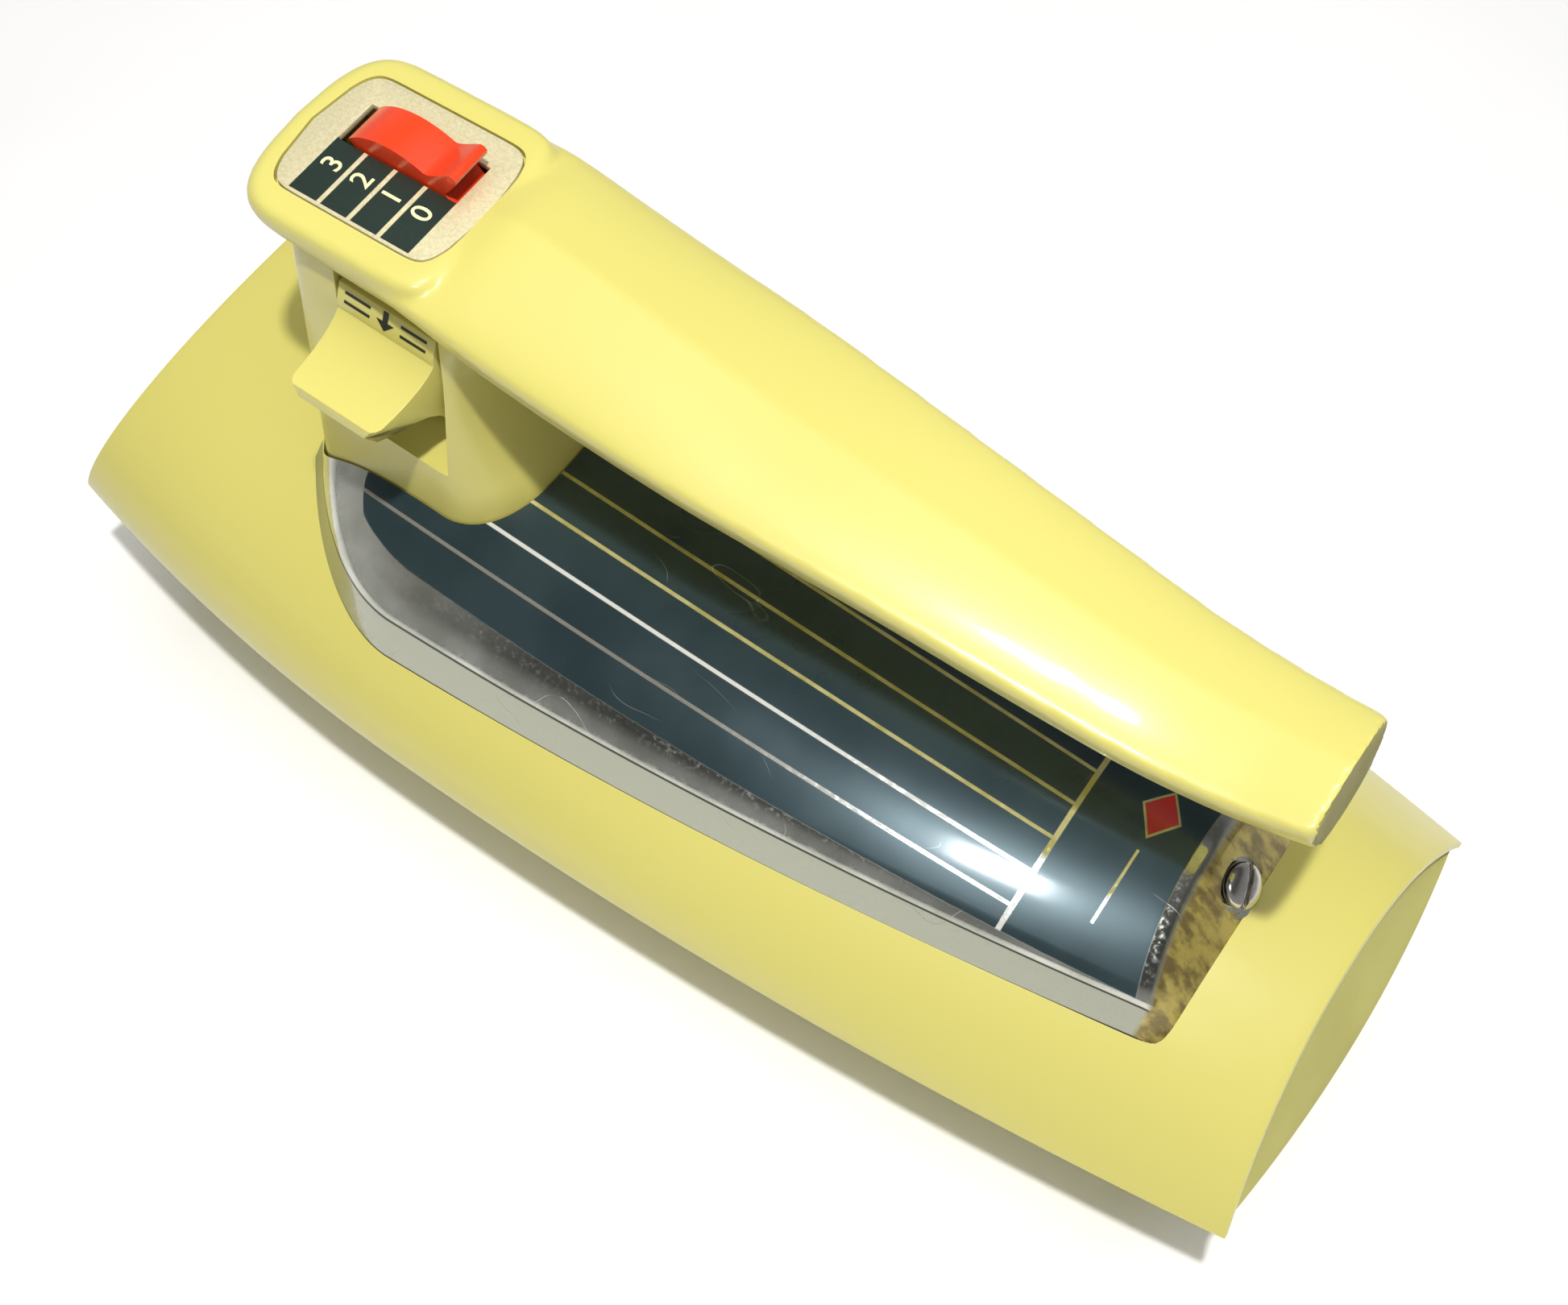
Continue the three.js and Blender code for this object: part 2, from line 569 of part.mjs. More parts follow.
function ejectorRod() {
  const shaft = rod('z', 2, YOKE_TOP + GAP, RIM_Z + 51.7, [ROD_X, 0], 16);
  return shaft.add(rod('z', 3.4, RIM_Z + 49.7, RIM_Z + 51.7, [ROD_X, 0], 16));
}

function ejectorYoke() {
  const low = YOKE_TOP - 2.7;
  let yoke = box(-75, -49, -3, 3, low, YOKE_TOP).add(box(-75, -69, -17, 17, low, YOKE_TOP));
  for (const side of [-1, 1]) yoke = yoke.add(rod('z', 2, 38, low + 1, [GEAR_X, side * GEAR_Y], 14));
  return yoke;
}

function ejectorSpring() {
  const ring = turned([[0, 0], [4.3, 0], [4.3, 12.6], [0, 12.6]], 20);
  return ring.subtract(rod('z', 2.6, -1, 20, [0, 0], 20)).translate([ROD_X, 0, RIM_Z + 36.8]);
}

function springSeat() {
  const seat = rod('z', 5.6, RIM_Z + 34.8, RIM_Z + 36.5, [ROD_X, 0], 18);
  return seat.subtract(rod('z', 2.5, RIM_Z + 30, RIM_Z + 40, [ROD_X, 0], 16));
}

// ---- motor and gears ---------------------------------------------------------------------------
const motorAxis = [0, MOTOR_Z];
const COIL_Y = 16.4;

function motorShaft() {
  return rod('x', SHAFT_RADIUS, -86.5, 64, motorAxis, 16);
}

function driveWorm() {
  const profile = [[SHAFT_BORE, -82], [3.2, -82]];
  const ridges = 7;
  for (let i = 0; i < ridges; i += 1) {
    const x = -80.5 + 3 * i;
    profile.push([3.2, x - 0.9], [3.9, x - 0.4], [3.9, x + 0.4], [3.2, x + 0.9]);
  }
  profile.push([3.2, -60], [SHAFT_BORE, -60], [SHAFT_BORE, -82]);
  return turned(profile, 14).rotate([0, 90, 0]).translate([0, 0, MOTOR_Z]);
}

function armatureCore() {
  let core = rod('x', 12.6, -22, 8, motorAxis, 24);
  const slots = 8;
  for (let i = 0; i < slots; i += 1) {
    const slot = box(-23, 9, -0.7, 0.7, 9.5, 14);
    core = core.subtract(slot.rotate([(360 * i) / slots, 0, 0]).translate([0, 0, MOTOR_Z]));
  }
  return core.subtract(rod('x', SHAFT_BORE, -30, 20, motorAxis, 16));
}

const windingHead = (x0, x1) => rod('x', 11, x0, x1, motorAxis, 24)
  .subtract(rod('x', 3.4, x0 - 1, x1 + 1, motorAxis, 16));

function commutator() {
  let drum = rod('x', HUB_RADIUS, 20, 33, motorAxis, 20);
  drum = drum.subtract(rod('x', SHAFT_BORE, 10, 40, motorAxis, 16));
  const bars = 8;
  for (let i = 0; i < bars; i += 1) {
    const cut = box(22, 34, -0.25, 0.25, 7, 9);
    drum = drum.subtract(cut.rotate([(360 * i) / bars, 0, 0]).translate([0, 0, MOTOR_Z]));
  }
  return drum;
}

function motorStator() {
  const outer = box(-22, 8, -24, 24, MOTOR_Z - 22.5, MOTOR_Z + 22.5);
  let stator = outer.subtract(rod('x', 13.4, -30, 20, motorAxis, 24));
  for (const side of [-1, 1]) {
    const middle = side * COIL_Y;
    stator = stator.subtract(box(-30, 20, middle - 3, middle + 3, MOTOR_Z - 12.8, MOTOR_Z + 12.8));
  }
  return stator;
}

function fieldCoil(side) {
  const middle = side * COIL_Y;
  return box(-29, 15, middle - 2.6, middle + 2.6, MOTOR_Z - 12.4, MOTOR_Z + 12.4);
}

function coolingFan() {
  let fan = rod('x', 6, 40, 50, motorAxis, 20);
  const blades = 8;
  fan = fan.add(rod('x', 19, 40, 41.2, motorAxis, 24));
  for (let i = 0; i < blades; i += 1) {
    const blade = box(40.5, 49, -0.6, 0.6, 5, 18.6);
    fan = fan.add(blade.rotate([(360 * i) / blades, 0, 0]).translate([0, 0, MOTOR_Z]));
  }
  return fan.subtract(rod('x', SHAFT_BORE, 30, 60, motorAxis, 16));
}

const bush = ([x0, x1]) => rod('x', BUSH_RADIUS, x0, x1, motorAxis, 20)
  .subtract(rod('x', SHAFT_BORE, x0 - 1, x1 + 1, motorAxis, 16));

// Bracket across the housing with a bored hub that carries a bush.
function bracket([x0, x1], half, top) {
  const wall = box(x0, x1, -half, half, 4, top).add(rod('x', HUB_RADIUS, x0, x1, motorAxis, 24));
  return wall.subtract(rod('x', BUSH_RADIUS + GAP, x0 - 9, x1 + 9, motorAxis, 20));
}

function gearFrame() {
  let frame = bracket(MIDDLE_BEARING, 26, 37);
  frame = frame.add(box(-92, -50, -26, 26, 3, 9.6)).add(bracket(FRONT_BEARING, 20, 37));
  frame = frame.intersect(belly(BELLY_WALL + GAP, RIM_Z + 30));
  for (const side of [-1, 1]) {
    frame = frame.subtract(rod('z', 7.6, 0, 20, [GEAR_X, side * GEAR_Y], 28));
  }
  return frame;
}

const rearBracket = () => bracket(REAR_BEARING, 36, 44).intersect(belly(BELLY_WALL + GAP, RIM_Z + 30));

function wormGear(side) {
  const outline = [];
  const pitch = GEAR_Y - 3.9 - 0.5;
  for (let i = 0; i < TEETH; i += 1) {
    const shape = [[-0.32, pitch - 1.6], [-0.14, pitch], [0.14, pitch], [0.32, pitch - 1.6]];
    for (const [share, radius] of shape) {
      const a = (2 * Math.PI * (i + share)) / TEETH;
      outline.push([radius * Math.cos(a), radius * Math.sin(a)]);
    }
  }
  const gear = prism(outline, 25, 34).subtract(rod('z', 5.8, 0, 60, [0, 0], 24));
  return gear.translate([GEAR_X, side * GEAR_Y, 0]);
}

function spindle(side) {
  const profile = [[0, 0.6], [6.6, 0.6], [6.6, 3.4], [5.5, 4.4], [5.5, 36], [0, 36]];
  let tube = turned(profile, 22).subtract(rod('z', SOCKET_BORE, -2, 60, [0, 0], 20));
  tube = tube.subtract(box(-0.9, 0.9, -4.4, 4.4, -1, 16));
  return tube.translate([GEAR_X, side * GEAR_Y, 0]);
}

function spindleBush(side) {
  const profile = [[5.8, 5], [7.3, 5], [7.3, 9.9], [8.6, 9.9], [8.6, 11.9], [7.3, 11.9], [7.3, 19],
    [5.8, 19], [5.8, 5]];
  return turned(profile, 22).translate([GEAR_X, side * GEAR_Y, 0]);
}

function brushHolder(side) {
  const y = side * 17 - 1;
  const tube = box(23.5, 29.5, y - 6, y + 8, MOTOR_Z - 3, MOTOR_Z + 3);
  const bore = box(24.5, 28.5, y - 9, y + 9, MOTOR_Z - 2, MOTOR_Z + 2);
  const strap = box(29.2, 54.6, side * 23.2 - 0.8, side * 23.2 + 0.8, MOTOR_Z - 2.4, MOTOR_Z + 2.4);
  return tube.subtract(bore).add(strap);
}

const carbonBrush = (side) => box(24.8, 28.2, side * 14.2 - 5.8, side * 14.2 + 5.8,
  MOTOR_Z - 1.7, MOTOR_Z + 1.7);

// ---- mains inlet and base screws ------------------------------------------------------------------
function mainsInlet() {
  let inlet = box(84, 96.6, -10, 10, 8, 22).add(box(84, 90.2, -12, 12, 7, 23));
  inlet = inlet.subtract(box(87, 99, -8.2, 8.2, 10, 20));
  for (const side of [-1, 1]) inlet = inlet.subtract(rod('x', 1.5, 80, 90, [side * 4.5, 15], 12));
  return inlet;
}

const inletPin = (side) => rod('x', 1.2, 81, 95, [side * 4.5, 15], 14);

function baseScrew(x, y) {
  const screw = turned([[0, 0], [3, 0], [3, 1.4], [1.4, 1.7], [1.4, 8.2], [0, 8.2]], 14);
  const cross = box(-2.6, 2.6, -0.35, 0.35, -1, 0.8);
  return screw.subtract(cross).translate([x, y, RIM_Z - 2]);
}

// ---- the assembly ---------------------------------------------------------------------------------
piece('upper_housing', upperHousing(), YELLOW);
piece('lower_housing', lowerHousing(), YELLOW);
piece('heel_panel', endPanel(1), YELLOW);
piece('nose_panel', endPanel(-1), YELLOW);
piece('deck_cover', deckCover(), DECK);
piece('deck_screw', deckScrew(), CHROME);
piece('handle_shell', handleShell(), YELLOW);
piece('handle_underside', handleUnderside(), YELLOW);
gripScrewX.forEach((x, i) => piece(`grip_screw_${i + 1}`, gripScrew(x), STEEL));
bossPlaces.forEach(([x, y], i) => piece(`base_screw_${i + 1}`, baseScrew(x, y), STEEL));

piece('switch_plate', switchPlate(), PLATE);
piece('switch_drum', switchDrum(), RED);
piece('switch_axle', rod('y', AXLE_RADIUS, -9, 11.6, [PLATE_X, DRUM_Z], 14), STEEL);
piece('switch_base', switchBase(), PHENOLIC);
['off', 'low', 'medium', 'high'].forEach((speed, i) => {
  piece(`switch_contact_${speed}`, contactBlade(3 - i), BRASS);
});

piece('ejector_lever', ejectorLever(), YELLOW);
piece('ejector_rod', ejectorRod(), STEEL);
piece('ejector_yoke', ejectorYoke(), STEEL);
piece('ejector_spring', ejectorSpring(), STEEL);
piece('spring_seat', springSeat(), STEEL);

piece('motor_stator', motorStator(), LAMINATION);
piece('field_coil_left', fieldCoil(-1), COPPER);
piece('field_coil_right', fieldCoil(1), COPPER);
piece('motor_shaft', motorShaft(), STEEL);
piece('armature_core', armatureCore(), LAMINATION);
piece('armature_winding_front', windingHead(-29.5, -22.4), COPPER);
piece('armature_winding_rear', windingHead(8.4, 16), COPPER);
piece('commutator', commutator(), COPPER);
piece('cooling_fan', coolingFan(), NYLON);
piece('drive_worm', driveWorm(), STEEL);
piece('front_bush', bush(FRONT_BEARING), BRONZE);
piece('middle_bush', bush(MIDDLE_BEARING), BRONZE);
piece('rear_bush', bush(REAR_BEARING), BRONZE);
piece('gear_frame', gearFrame(), DIECAST);
piece('rear_bracket', rearBracket(), DIECAST);
for (const [side, hand] of [[-1, 'left'], [1, 'right']]) {
  piece(`brush_holder_${hand}`, brushHolder(side), BRASS);
  piece(`carbon_brush_${hand}`, carbonBrush(side), CARBON);
  piece(`worm_gear_${hand}`, wormGear(side), NYLON);
  piece(`beater_spindle_${hand}`, spindle(side), STEEL);
  piece(`spindle_bush_${hand}`, spindleBush(side), BRONZE);
  piece(`inlet_pin_${hand}`, inletPin(side), BRASS);
}
piece('mains_inlet', mainsInlet(), BLACK);

export default group;
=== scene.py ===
"""Looks of a vintage pastel hand mixer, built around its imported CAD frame.

Blender works in metres. Shapes here are written in millimetres in the same frame: +X runs to the
heel, -X to the nose, -Y is the user's left, +Z is up, and the underside rests at z = 0.
"""
import json
import math

import bmesh
import bpy
from mathutils import Matrix, Vector

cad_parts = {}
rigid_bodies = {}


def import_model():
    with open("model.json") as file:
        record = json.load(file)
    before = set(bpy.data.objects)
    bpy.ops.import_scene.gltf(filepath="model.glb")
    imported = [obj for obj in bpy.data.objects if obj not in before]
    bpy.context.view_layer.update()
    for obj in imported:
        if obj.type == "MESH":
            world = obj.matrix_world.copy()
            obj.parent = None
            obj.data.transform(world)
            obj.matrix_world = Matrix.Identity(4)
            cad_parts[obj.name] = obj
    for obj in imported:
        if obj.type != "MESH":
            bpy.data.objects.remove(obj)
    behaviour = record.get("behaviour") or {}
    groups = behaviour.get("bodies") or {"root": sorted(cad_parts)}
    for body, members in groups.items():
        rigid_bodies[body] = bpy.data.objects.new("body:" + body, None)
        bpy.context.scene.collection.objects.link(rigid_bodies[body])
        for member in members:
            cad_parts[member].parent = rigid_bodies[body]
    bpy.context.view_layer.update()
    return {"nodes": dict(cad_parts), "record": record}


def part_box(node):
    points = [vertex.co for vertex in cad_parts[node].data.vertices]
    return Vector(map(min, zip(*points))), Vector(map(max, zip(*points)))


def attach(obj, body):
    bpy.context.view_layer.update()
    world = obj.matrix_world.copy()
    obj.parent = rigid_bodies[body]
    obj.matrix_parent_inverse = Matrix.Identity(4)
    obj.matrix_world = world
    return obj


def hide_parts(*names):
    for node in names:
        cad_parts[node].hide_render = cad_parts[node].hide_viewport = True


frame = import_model()

MM = 0.001


def node_box(node):
    """Lowest and highest corner of a CAD node, in millimetres."""
    low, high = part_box(node)
    return Vector(low) / MM, Vector(high) / MM


# ---- driving dimensions, in millimetres ------------------------------
HOUSING_LOW, HOUSING_HIGH = node_box("upper_housing")
RIM = HOUSING_LOW.z         # sharp lower edge of the flared housing
HALF_LENGTH = HOUSING_HIGH.x
WIDEST = HOUSING_HIGH.y
WIDEST_X = -35
SPINE = HOUSING_HIGH.z - RIM  # crown of the housing above its rim
SKIN = 2.4
LIP = 1.0                   # the skin's thickness at the two open ends
GAP = 0.3
NOSE_RAKE = 0.364
HEEL_RAKE = 0.30
ARCH = 2.2                  # exponent of the housing's cross-section
PANEL_BULGE = 2.8           # how far an end panel's foot bows out in its middle
DECK_FRONT = -70
DECK_CROWN = 12.5
REAR_CROWN = 9.5
DECK_FOOT = 88.2            # where the deck's rear wall meets the housing
FOOT_LINE = 1.186           # where a side wall goes under the housing's skin
PILLAR_FRONT = -69
PILLAR_SIDE_END = -42
PLATE_X = -57.5
PLATE_Z = RIM + 80.6
PLATE_SLOPE = 0.075
DRUM_Z = RIM + 71.6
DRUM_Y = 2.9
DRUM_RADIUS = 12.5
SLOT_LENGTH = 21.2
SLOT_WIDTH = 7.2
RECESS_FRONT = -58.9
RECESS_REAR = -40.6
ROD_X = -52
GEAR_X = -72
GEAR_Y = 13.8
SOCKET_RADIUS = 7.2         # the beater sockets' openings in the base
SCREW_CLEARANCE = 1.9       # holes for the base and grip screws
SCREW_TILT = math.radians(40)
SCREW_SEAT = Vector((85, 0, RIM + 25.8))
BASE_SCREWS = [(-84, 35.5), (-84, -35.5), (90, 32.2), (90, -32.2)]
GRIP_SCREWS = (-17, 70)


# ---- mesh helpers ----------------------------------------------------
def lerp(a, b, t):
    return a + (b - a) * t


def clamp(value, low=0.0, high=1.0):
    return min(high, max(low, value))


def power(value, exponent):
    return math.copysign(abs(value) ** exponent, value)


def spread(limits):
    """Even steps between neighbouring limits, given as (from, to, steps)."""
    values = []
    for low, high, steps in limits:
        values += [lerp(low, high, k / steps) for k in range(steps)]
    return values + [limits[-1][1]]


def shift(x, y, z):
    return Matrix.Translation(Vector((x, y, z)) * MM)


def through(stations, x):
    """Smooth curve through short rows [x, a, b, ...], read at x."""
    last = len(stations) - 1
    k = 0
    while k < last - 1 and x > stations[k + 1][0]:
        k += 1
    a, b = stations[k], stations[k + 1]
    before, after = stations[max(0, k - 1)], stations[min(last, k + 2)]
    span = b[0] - a[0]
    t = clamp((x - a[0]) / span)
    values = []
    for j in range(1, len(a)):
        slope_a = (b[j] - before[j]) / (b[0] - before[0]) * span
        slope_b = (after[j] - a[j]) / (after[0] - a[0]) * span
        values.append(a[j] * (2 * t ** 3 - 3 * t ** 2 + 1) + b[j] * (3 * t ** 2 - 2 * t ** 3)
                      + slope_a * (t ** 3 - 2 * t ** 2 + t) + slope_b * (t ** 3 - t ** 2))
    return values


def add_object(name, data):
    obj = bpy.data.objects.new(name, data)
    bpy.context.scene.collection.objects.link(obj)
    return obj


def new_object(name, points, faces, weld=True):
    """A mesh object from points in millimetres, with points that coincide made one."""
    mesh = bpy.data.meshes.new(name)
    mesh.from_pydata([Vector(p) * MM for p in points], [], faces)
    mesh.update()
    work = bmesh.new()
    work.from_mesh(mesh)
    if weld:
        bmesh.ops.remove_doubles(work, verts=work.verts, dist=1e-7)
    bmesh.ops.recalc_face_normals(work, faces=work.faces)
    work.to_mesh(mesh)
    work.free()
    return add_object(name, mesh)


def grid_faces(rows, columns, start=0, closed=False):
    faces = []
    for i in range(rows - 1):
        for j in range(columns if closed else columns - 1):
            k = (j + 1) % columns
            a, b = start + i * columns, start + (i + 1) * columns
            faces.append((a + j, a + k, b + k, b + j))
    return faces


def slab(name, outer, inner, rows, columns):
    """A closed skin between outer(u, v) and inner(u, v), with u and v from 0 to 1."""
    points = []
    for surface in (outer, inner):
        for i in range(rows):
            for j in range(columns):
                points.append(surface(i / (rows - 1), j / (columns - 1)))
    count = rows * columns
    faces = grid_faces(rows, columns)
    faces += [tuple(reversed(face)) for face in grid_faces(rows, columns, count)]
    border = list(range(columns))
    border += [i * columns + columns - 1 for i in range(1, rows)]
    border += [(rows - 1) * columns + j for j in range(columns - 2, -1, -1)]
    border += [i * columns for i in range(rows - 2, 0, -1)]
    for a, b in zip(border, border[1:] + border[:1]):
        faces.append((a, b, b + count, a + count))
    return new_object(name, points, faces)


def tube(name, rings):
    """A closed solid through rings of equal length, capped flat at both ends."""
    count = len(rings[0])
    points = [p for ring in rings for p in ring]
    faces = grid_faces(len(rings), count, closed=True)
    faces.append(tuple(range(count)))
    faces.append(tuple(range(len(points) - count, len(points)))[::-1])
    return new_object(name, points, faces)


def circle(count):
    """Cosine and sine of count even steps round a circle."""
    for k in range(count):
        angle = 2 * math.pi * k / count
        yield math.cos(angle), math.sin(angle)


def turned(name, profile, segments=48, place=None):
    """A turned solid about Z through (radius, height) points, capped flat at both ends."""
    obj = tube(name, [[(radius * c, radius * s, height) for c, s in circle(segments)]
                      for radius, height in profile])
    if place:
        obj.data.transform(place)
    return obj


def rod(radius, low, high, segments=48, place=None):
    """A plain round bar about Z, mostly used to bore a hole."""
    return turned("rod", [(radius, low), (radius, high)], segments, place)


def box(name, low, high):
    (x0, y0, z0), (x1, y1, z1) = low, high
    ring = [(x0, y0), (x1, y0), (x1, y1), (x0, y1)]
    return tube(name, [[(x, y, z) for x, y in ring] for z in (z0, z1)])


def extruded(name, outline, low, high, place):
    """An outline of (a, b) points, raised from low to high, each point put in place(a, b, h)."""
    return tube(name, [[place(a, b, h) for a, b in outline] for h in (low, high)])


def apply_modifiers(obj):
    graph = bpy.context.evaluated_depsgraph_get()
    mesh = bpy.data.meshes.new_from_object(obj.evaluated_get(graph))
    old = obj.data
    obj.modifiers.clear()
    obj.data = mesh
    bpy.data.meshes.remove(old)


def combine(obj, operation, others):
    """Joins or cuts obj with the others, which are used up."""
    for other in others:
        step = obj.modifiers.new("combine", "BOOLEAN")
        step.operation = operation
        step.solver = "MANIFOLD"
        step.object = other
        apply_modifiers(obj)
        bpy.data.objects.remove(other)


def join(obj, *others):
    combine(obj, "UNION", others)


def cut(obj, *others):
    combine(obj, "DIFFERENCE", others)


def shade(obj, sharp=38):
    for face in obj.data.polygons:
        face.use_smooth = True
    obj.data.set_sharp_from_angle(angle=math.radians(sharp))


def rounded(obj, width, segments=3, angle=38):
    """Rounds the sharp edges of obj by width millimetres."""
    step = obj.modifiers.new("rounded", "BEVEL")
    step.width = width * MM
    step.segments = segments
    step.limit_method = "ANGLE"
    step.angle_limit = math.radians(angle)
    apply_modifiers(obj)
    return obj


def softened(obj, voxel, passes):
    """Remeshes obj evenly and rounds all its edges a little, as moulded plastic has them."""
    step = obj.modifiers.new("even", "REMESH")
    step.mode = "VOXEL"
    step.voxel_size = voxel * MM
    smooth = obj.modifiers.new("soft", "SMOOTH")
    smooth.factor = 0.5
    smooth.iterations = passes
    apply_modifiers(obj)
    return obj


def finish_piece(obj, material, nodes=(), sharp=38, body="housing"):
    """Shades a finished piece and ties it to its material, body, slot and CAD nodes."""
    shade(obj, sharp)
    obj.data.materials.clear()
    obj.data.materials.append(material)
    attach(obj, body)
    if nodes:
        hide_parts(*nodes)
    return obj


# ---- material helpers ------------------------------------------------
class Nodes:
    """A material's node tree, with short names for what is used often."""

    def __init__(self, name):
        self.material = bpy.data.materials.new(name)
        self.material.use_nodes = True
        self.tree = self.material.node_tree
        self.shader = self.tree.nodes["Principled BSDF"]
        self.place = self.add("ShaderNodeTexCoord").outputs["Object"]

    def add(self, kind, **settings):
        node = self.tree.nodes.new(kind)
        for key, value in settings.items():
            setattr(node, key, value)
        return node

    def link(self, source, target):
        self.tree.links.new(source, target)

    def feed(self, value, target):
        if isinstance(value, bpy.types.NodeSocket):
            self.link(value, target)
        else:
            target.default_value = value

    def math(self, operation, *values):
        node = self.add("ShaderNodeMath", operation=operation)
        for value, target in zip(values, node.inputs):
            self.feed(value, target)
        return node.outputs[0]

    def chain(self, operation, first, *others):
        for other in others:
            first = self.math(operation, first, other)
        return first

    def times(self, *values):
        return self.chain("MULTIPLY", *values)

    def most(self, *values):
        return self.chain("MAXIMUM", *values)

    def minus(self, a, b):
        return self.math("SUBTRACT", a, b)

    def size(self, value):
        return self.math("ABSOLUTE", value)

    def parts(self, source):
        """The X, Y and Z outputs of a vector."""
        node = self.add("ShaderNodeSeparateXYZ")
        self.link(source, node.inputs[0])
        return node.outputs

    def noise(self, scale, detail=3.0, roughness=0.5, stretch=None):
        """Noise over the piece, scale in features per metre; stretch scales the axes."""
        node = self.add("ShaderNodeTexNoise")
        node.inputs["Scale"].default_value = scale
        node.inputs["Detail"].default_value = detail
        node.inputs["Roughness"].default_value = roughness
        source = self.place
        if stretch:
            mapping = self.add("ShaderNodeMapping")
            mapping.inputs["Scale"].default_value = stretch
            self.link(source, mapping.inputs["Vector"])
            source = mapping.outputs[0]
        self.link(source, node.inputs["Vector"])
        return node.outputs["Fac"]

    def ramp(self, value, low, high, out_low=0.0, out_high=1.0):
        node = self.add("ShaderNodeMapRange", interpolation_type="SMOOTHSTEP")
        self.feed(value, node.inputs["Value"])
        for key, number in (("From Min", low), ("From Max", high),
                            ("To Min", out_low), ("To Max", out_high)):
            node.inputs[key].default_value = number
        return node.outputs["Result"]

    def mix(self, factor, a, b):
        node = self.add("ShaderNodeMix", data_type="RGBA")
        self.feed(factor, node.inputs[0])
        for colour, target in ((a, node.inputs[6]), (b, node.inputs[7])):
            self.feed((*colour, 1.0) if isinstance(colour, tuple) else colour, target)
        return node.outputs[2]

    def blend(self, factor, a, b):
        node = self.add("ShaderNodeMix", data_type="FLOAT")
        for value, target in zip((factor, a, b), node.inputs[:1] + node.inputs[2:4]):
            self.feed(value, target)
        return node.outputs[0]

    def bump(self, height, strength, distance):
        node = self.add("ShaderNodeBump")
        node.inputs["Strength"].default_value = strength
        node.inputs["Distance"].default_value = distance
        self.link(height, node.inputs["Height"])
        self.link(node.outputs[0], self.shader.inputs["Normal"])

    def set(self, **values):
        for key, value in values.items():
            target = self.shader.inputs[key.replace("_", " ")]
            self.feed((*value, 1.0) if isinstance(value, tuple) else value, target)


def plastic(name, colour, roughness, variation=0.06, coat=0.0, grain=0.03):
    """Moulded plastic: slight blotches in colour and gloss, and a fine moulded grain."""
    n = Nodes(name)
    blotch = n.noise(45, 4)
    darker = tuple(c * (1 - variation) for c in colour)
    n.set(Base_Color=n.mix(n.ramp(blotch, 0.35, 0.65), darker, colour))
    n.set(Roughness=n.ramp(n.noise(160, 5), 0.3, 0.7, roughness * 0.85, roughness * 1.2))
    n.set(Coat_Weight=coat, Coat_Roughness=0.12)
    n.bump(n.noise(2600, 2), grain, 0.0001)
    return n.material


def metal(name, colour, roughness, stretch=(1, 1, 1), scale=900):
    """Worked metal: fine marks drawn out along the axis that stretch makes short."""
    n = Nodes(name)
    marks = n.noise(scale, 5, 0.6, stretch)
    darker = tuple(c * 0.72 for c in colour)
    n.set(Base_Color=n.mix(n.ramp(n.noise(120, 4), 0.3, 0.7), darker, colour))
    n.set(Roughness=n.ramp(marks, 0.3, 0.7, roughness * 0.7, roughness * 1.35))
    n.set(Metallic=1.0)
    n.bump(marks, 0.12, 0.0001)
    return n.material


def enamel():
    """The pastel yellow housing: glossy, with faint mottling, rare specks and a moulded ripple."""
    n = Nodes("enamel_yellow")
    light, deep = (0.645, 0.59, 0.162), (0.615, 0.56, 0.148)
    mottled = n.mix(n.ramp(n.noise(11, 1), 0.35, 0.65), deep, light)
    dots = n.add("ShaderNodeTexVoronoi")
    dots.inputs["Scale"].default_value = 75
    n.link(n.place, dots.inputs["Vector"])
    cell = n.add("ShaderNodeSeparateColor")
    n.link(dots.outputs["Color"], cell.inputs[0])
    specks = n.times(n.ramp(dots.outputs["Distance"], 0.012, 0.018, 1.0, 0.0),
                     n.math("GREATER_THAN", cell.outputs["Red"], 0.8))
    n.set(Base_Color=n.mix(specks, mottled, (0.30, 0.23, 0.06)))
    n.set(Roughness=n.ramp(n.noise(60, 2), 0.3, 0.7, 0.31, 0.35))
    n.set(Specular_IOR_Level=0.5, Coat_Weight=0.25, Coat_Roughness=0.10)
    n.bump(n.math("ADD", n.noise(300, 3), n.times(n.noise(2400, 2), 0.25)), 0.05, 0.0002)
    return n.material


def satin_yellow(name, colour):
    """The unpolished yellow of the closing panels under the lips and of the handle's end, each made
    darker than the housing's yellow as painted shade.
    """
    material = plastic(name, colour, 0.62, 0.1, 0.0, 0.1)
    material.node_tree.nodes["Principled BSDF"].inputs["Specular IOR Level"].default_value = 0.12
    return material


STRIPE_PITCH = 5.7
STRIPE_HALF = 0.28
CROSS_LINE = 60.5           # x of the line that ends the stripes
FAN_LENGTH = 78.5           # length over which the stripes spread towards the nose
LOZENGE_X = 71
LOZENGE_HALF = 4.0
RULE_ENDS = (6.2, 18.5)     # the rules beside the lozenge, measured from the centre line
# pale tint for the outer bare stripes: a painted highlight of the lamp on bare metal
PAINTED_STRIPE_HIGHLIGHT = (0.84, 0.85, 0.80)


